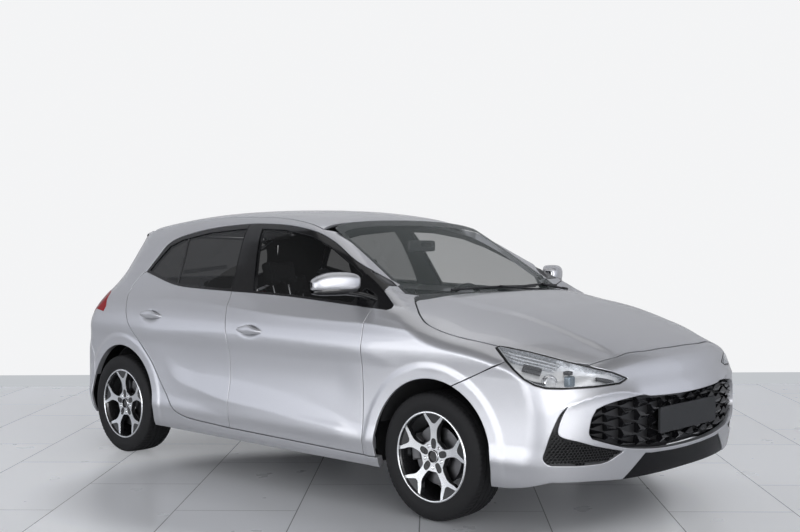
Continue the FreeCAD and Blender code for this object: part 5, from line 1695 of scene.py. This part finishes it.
# roof spoiler, rear lamps and trim
# Spoiler: one section in x and z at each y, the top on the roof's own curve, ending in a
# rounded lip, the underside running back to the top of the rear glass.
spoilerLook = {"half": 566.0, "front": -1406.0, "tip": -1716.0, "sweep": 205.0, "lip": 9.0,
               "foot": 76.0, "footZ": 1346.0}
rings = []
half, lipR = spoilerLook["half"], spoilerLook["lip"]
for y in np.linspace(-half, half, 61):
    share = abs(y) / half
    tip = spoilerLook["tip"] + spoilerLook["sweep"] * share ** 3.2
    xs = np.linspace(spoilerLook["front"], tip, 16)
    top = onRoof(xs, np.full(16, y)) - [0, 0, 4 + 14 * share ** 6]
    a = np.radians(np.linspace(60, -120, 7))
    lip = np.stack([tip - lipR * np.cos(a) * 0.9, np.full(7, y),
                    top[-1, 2] - lipR + lipR * np.sin(a)], 1)
    foot = tip + spoilerLook["foot"]
    footZ = spoilerLook["footZ"] - 22 * share ** 2
    under = np.stack([np.linspace(tip + 14, foot, 6), np.full(6, y),
                      np.linspace(lip[-1, 2] - 2, footZ, 6)], 1)
    front = np.stack([np.linspace(min(foot + 20, -1412), spoilerLook["front"], 6), np.full(6, y),
                      np.linspace(footZ + 4, top[0, 2] - 30, 6)], 1)
    rings.append(np.concatenate([top, lip, under, front]))
setPiece("roofSpoiler", [loft(rings)], paint, "tailgate")
# stop lamp strip under the lip
ys = np.linspace(-190, 190, 21)
tips = spoilerLook["tip"] + spoilerLook["sweep"] * (np.abs(ys) / half) ** 3.2 - 1.0
line = onRoof(tips, ys) - [0, 0, 27]
setPiece("stopLampStrip", [slab(line + [0, 0, 5], line - [0, 0, 5], 16,
                                np.tile([1.0, 0, 0], (21, 1)))], redLens, "tailgate")

# blades beside the rear glass, from the spoiler's ends down the glass edge
bladeTop = [(1356, 520), (1336, 556), (1300, 566), (1240, 590), (1160, 614), (1090, 630)]
bladeIn = [(1340, 470), (1318, 500), (1290, 520), (1240, 538), (1170, 566), (1100, 588)]


# A smooth line through points (height, distance from the middle) on the tail, lifted off it.
def downTail(table, lift):
    t = np.linspace(0, 5, 24)
    p = fromBack(np.stack([read([(i, q[k]) for i, q in enumerate(table)], t) for k in (1, 0)], 1))
    return p + normalOf(cabin, p) * lift


outerB = downTail(bladeTop, 5)
bothSides("glassBlade", [slab(outerB, downTail(bladeIn, 2), 12, -normalOf(cabin, outerB))],
          glossBlack, ("tailgate", "tailgate"))

# blank plate, reflectors and wiper on the tail
setPiece("plateRear", [softBox([tailX - 1.5, -262, 440], [tailX + 10, 262, 552], 0.06, 17, 48)],
         plateDark, "car")
diffuser = [(fromBack([(0, 330), (520, 330), (600, 300), (560, 226), (0, 222)]), False, "edge")]
panelOf("rearDiffuser", "rearWrap", [both(diffuser)], satinBlack, "car", "trim_black", (),
        mirror=False, sink=-1.5, fold=4, gap=0, step=24, edgeR=1.5)
ys = np.linspace(470, 600, 12)
upper, lower = (fromBack(np.stack([ys, np.full(12, z)], 1)) for z in (372.0, 350.0))
n = normalOf(cabin, upper)
bothSides("rearReflector", [slab(upper + n * 2, lower + n * 2, 10, -n)], redLens)
pivot, wiperTip = fromBack([(0, 1086), (330, 1120)]) + [-12, 0, 0]


# Bar with a rectangular section along a line of points.
def bar(points, wide, tall):
    q = np.asarray(points, float)
    d = np.gradient(q, axis=0)
    d /= np.linalg.norm(d, axis=1)[:, None]
    sideways = np.cross(d, [0.0, 0, 1])
    sideways /= np.linalg.norm(sideways, axis=1)[:, None]
    upward = np.cross(sideways, d)
    a = np.arange(12) * 2 * math.pi / 12
    c, s = squared(np.cos(a), 0.5), squared(np.sin(a), 0.5)
    return loft(q[:, None] + (sideways * wide)[:, None] * c[None, :, None]
                + (upward * tall)[:, None] * s[None, :, None])


line = np.linspace(pivot, wiperTip, 9)
setPiece("rearWiper", [bar(line, 7, 5), bar(line + [0, 0, 14], 4, 8)], satinBlack, "tailgate")

# cowl, wipers and the black sheets that close the gaps
cowlPoints = []
ys = np.linspace(-640, 640, 33)
for x, z in ((1006, 990), (980, 1004), (930, 1006), (880, 1010), (846, 1022)):
    cowlPoints.append(np.stack([x - 105 * (np.abs(ys) / 640) ** 2.3, ys,
                                z - 6 * (np.abs(ys) / 640) ** 2], 1))
sheet = np.array(cowlPoints)
ringRows = np.concatenate([sheet, sheet[::-1] - [0, 0, 6]])
setPiece("cowlTray", [loft(np.transpose(ringRows, (1, 0, 2)))], satinBlack, "car")
wipers = []
for y0, z0, y1, z1 in ((400, 1054, -330, 1058), (640, 1050, 300, 1058)):
    line = np.linspace([0.0, y0, z0], [0.0, y1, z1], 14)
    line[:, 2] += 6 * np.sin(np.linspace(0, math.pi, 14))
    line[:, 0] = screenAt(line[:, 1], line[:, 2]) + 8
    wipers.append(bar(line, 3, 6))
    arm = np.linspace([0.0, y0 + 30, z0 - 22], line[6] + [0, 0, 3], 8)
    arm[:, 0] = screenAt(arm[:, 1], arm[:, 2]) + 20
    wipers.append(bar(arm, 7, 6))
    wipers.append(bar(arm[:2], 13, 9))
setPiece("wiperArms", wipers, satinBlack, "car", ["cowl_and_wipers"])
print("rear and cowl made")

# inner faces, so that nothing is open from behind
lining("doorFrontInner", "doorFrontSkin", 96, insideDark, frontDoors)
lining("doorRearInner", "doorRearSkin", 96, insideDark, rearDoors)
lining("frameFrontInner", "windowFrameFront", 30, insideDark, frontDoors, shut=1.2)
lining("frameRearInner", "windowFrameRear", 30, insideDark, rearDoors, shut=1.2)
lining("bodySideInner", "bodySide", 36, insideDark, root)
lining("fenderInner", "fender", 13, insideDark, root)
lining("headliner", "roofSkin", 20, insideDark, "car", step=50)
lining("gateInner", "gateSkin", 13, insideDark, "tailgate")
lining("bonnetInner", "bonnetSkin", 13, structurePaint, "bonnet")
lining("bumperFrontInner", "bumperFront", 13, insideDark, "car")
lining("bumperRearInner", "bumperRear", 13, insideDark, "car")
print("linings made")


# parts that stay as loaded get their own finish
carpet = makePlain("carpet", (0.014, 0.014, 0.015, 1), 0.85, 0.95, 700.0, 0.5, 0.001)
kept = {"body_floor": carpet, "arch_liners": plasticBlack, "dashboard": insideDark,
        "steering_wheel": satinBlack, "engine_block": castMetal, "front_suspension": satinBlack,
        "rear_axle": satinBlack, "exhaust": discMetal, "fuel_tank": plasticBlack,
        "knuckle_left": castMetal, "knuckle_right": castMetal}
for key, material in kept.items():
    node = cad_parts[key]
    for held in node.material_slots:
        held.link = "OBJECT"
        held.material = material


# seats: foam pads, swollen by cloth pressure, then sewn
seatLook = {"grid": 9.0, "headGrid": 7.0, "rearGrid": 13.0, "pressure": 4.0, "cap": 24.0,
            "shrink": 13.0, "seam": 5.0, "seamWide": 5.0}
cloth = makePlain("seatCloth", (0.028, 0.028, 0.030, 1), 0.82, 0.95, 1400.0, 0.6, 0.0006)


def evaluated(ob):
    seen = bpy.context.evaluated_depsgraph_get()
    return bpy.data.meshes.new_from_object(ob.evaluated_get(seen), depsgraph=seen)


def pointsOf(mesh):
    p = np.empty(len(mesh.vertices) * 3)
    mesh.vertices.foreach_get("co", p)
    return p.reshape(-1, 3) * 1000


# A pad about the origin: soft box, remeshed, swollen, subdivided; shape(p) bends it first.
def padded(size, grid, shape):
    half = np.array(size) / 2 - seatLook["shrink"]
    p, f, _ = softBox(-half, half, 0.22, 21, 40)
    mesh = buildMesh("pad", shape(p), [f])
    mesh.normals_split_custom_set_from_vertices([(0, 0, 0)] * len(mesh.vertices))
    ob = bpy.data.objects.new("pad", mesh)
    bpy.context.scene.collection.objects.link(ob)
    even = ob.modifiers.new("even", "REMESH")
    even.mode = "VOXEL"
    even.voxel_size = grid / 1000
    ob.data = evaluated(ob)
    ob.modifiers.clear()
    start = pointsOf(ob.data)
    puff = ob.modifiers.new("puff", "CLOTH")
    puff.settings.use_pressure = True
    puff.settings.uniform_pressure_force = seatLook["pressure"]
    puff.settings.effector_weights.gravity = 0
    for step in range(1, 21):
        bpy.context.scene.frame_set(step)
    moved = pointsOf(evaluated(ob)) - start
    far = np.maximum(np.linalg.norm(moved, axis=1), 1e-6)
    moved *= np.minimum(1, seatLook["cap"] / far)[:, None]
    ob.modifiers.clear()
    ob.data.vertices.foreach_set("co", ((start + moved) / 1000).reshape(-1))
    ob.data.update()
    bpy.context.scene.frame_set(1)
    fine = ob.modifiers.new("fine", "SUBSURF")
    fine.levels = 1
    done = evaluated(ob)
    faces = np.empty(len(done.loops), np.int32)
    done.loops.foreach_get("vertex_index", faces)
    out = pointsOf(done), faces.reshape(-1, 4)
    bpy.data.objects.remove(ob)
    return out


# Sewn channels: -seam * exp(-(d / seamWide)^2) along the normal, where front(p) is 1.
def sewn(pad, distances, front):
    p, f = pad
    n = faceNormals(p, [f])
    for d in distances:
        sunk = seatLook["seam"] * np.exp(-(d(p) / seatLook["seamWide"]) ** 2) * front(p, n)
        p = p - n * sunk[:, None]
    return p, f


# Puts a pad in the car: kept inside its box, leant back by an angle, moved into place.
def setPad(name, pad, size, place, lean, slotName="seat_cloth", replaces=()):
    p, f = pad
    p = np.clip(p, -np.array(size) / 2, np.array(size) / 2)
    s, c = math.sin(math.radians(lean)), math.cos(math.radians(lean))
    q = np.stack([p[:, 0] * c - p[:, 2] * s, p[:, 1], p[:, 0] * s + p[:, 2] * c], 1)
    q = q + np.array(place, float)
    mesh = buildMesh(name, q, [f], faceNormals(q, [f]))
    piece(name, mesh, cloth, "car", replaces)


def bolster(high, half, axis):
    def shape(p):
        q = p.copy()
        q[:, axis] += high * np.clip(np.abs(p[:, 1]) / half, 0, 1) ** 4 * (p[:, axis] > 0)
        return q
    return shape


# Distances from a seam beside the middle, or across at one value of an axis.
def beside(y):
    return lambda p: np.abs(p[:, 1]) - y


def across(axis, at):
    return lambda p: p[:, axis] - at


# Where a pad faces forward (axis 0) or up (axis 2): 1 there, 0 on its other sides.
def facing(axis):
    return lambda p, n: smooth(0.3, 0.7, n[:, axis])


def plain(p):
    return p


# name, size, grid, bend, seams, side that is sewn
seatParts = [
    ("cushion", (440, 496, 146), "grid", bolster(16, 230, 2), [beside(150), across(0, 60)], 2),
    ("backrest", (116, 496, 590), "grid", bolster(14, 230, 0),
     [beside(145), across(2, -60), across(2, 170)], 0),
    ("headPad", (88, 248, 166), "headGrid", plain, [beside(84)], 0),
    ("bench", (380, 1190, 156), "rearGrid", plain, [beside(200), beside(480)], 2),
    ("benchBack", (116, 1190, 550), "rearGrid", plain, [beside(200), beside(480)], 0),
]
pads = {}
for key, size, grid, shape, lines, axis in seatParts:
    pads[key] = (sewn(padded(size, seatLook[grid], shape), lines, facing(axis)), size)
for hand, side0 in (("Left", 360), ("Right", -360)):
    setPad("seatCushion" + hand, *pads["cushion"], (16, side0, 405), 0,
           replaces=["seats_front"] if hand == "Left" else ())
    setPad("seatBack" + hand, *pads["backrest"], (-333, side0, 688), 16)
    setPad("headrestFront" + hand, *pads["headPad"], (-455, side0, 1122), 16)
    setPad("headrestRear" + hand, *pads["headPad"], (-1113, side0 * 11 / 12, 1012), 16)
setPad("benchCushion", *pads["bench"], (-734, 0, 401), 0, replaces=["seat_rear"])
setPad("benchBack", *pads["benchBack"], (-985, 0, 683), 18)
posts = []
for side0, x0, z0 in ((360, -418, 968), (-360, -418, 968), (330, -1075, 930), (-330, -1075, 930)):
    for d in (-60, 60):
        a = np.radians(np.arange(8) * 45)
        ring = np.stack([6 * np.cos(a) + x0, 6 * np.sin(a) + side0 + d, np.full(8, z0 - 8)], 1)
        posts.append(loft([ring, ring + np.array([-24.0, 0, 92.0])]))
setPiece("headrestPosts", posts, chrome, "car")
bases = [softBox((-190, side0 - 180, 226), (170, side0 + 180, 326), 0.1) for side0 in (360, -360)]
bases.append(softBox((-950, -480, 226), (-560, 480, 322), 0.1))
setPiece("seatBases", bases, insideDark, "car")
print("seats made")

# rear lamps carried round on to the side
lampWrap = [(-1802, 984), (-1700, 998), (-1612, 1001), (-1594, 985), (-1592, 940), (-1576, 905),
            (-1592, 872), (-1690, 886), (-1834, 830), (-1824, 900)]
panelOf("lampRearSide", "bodyBelt", [closedSide(lampWrap)], redLens, root, "lamp_red",
        ((), ()), sink=-1.5, fold=4, step=12, gap=0, edgeR=1.0)

# mirror inside the windscreen
setPiece("insideMirror", [softBox((350, -112, 1250), (374, 112, 1314), 0.3),
                         softBox((372, -14, 1280), (455, 14, 1306), 0.4)], satinBlack, "car")
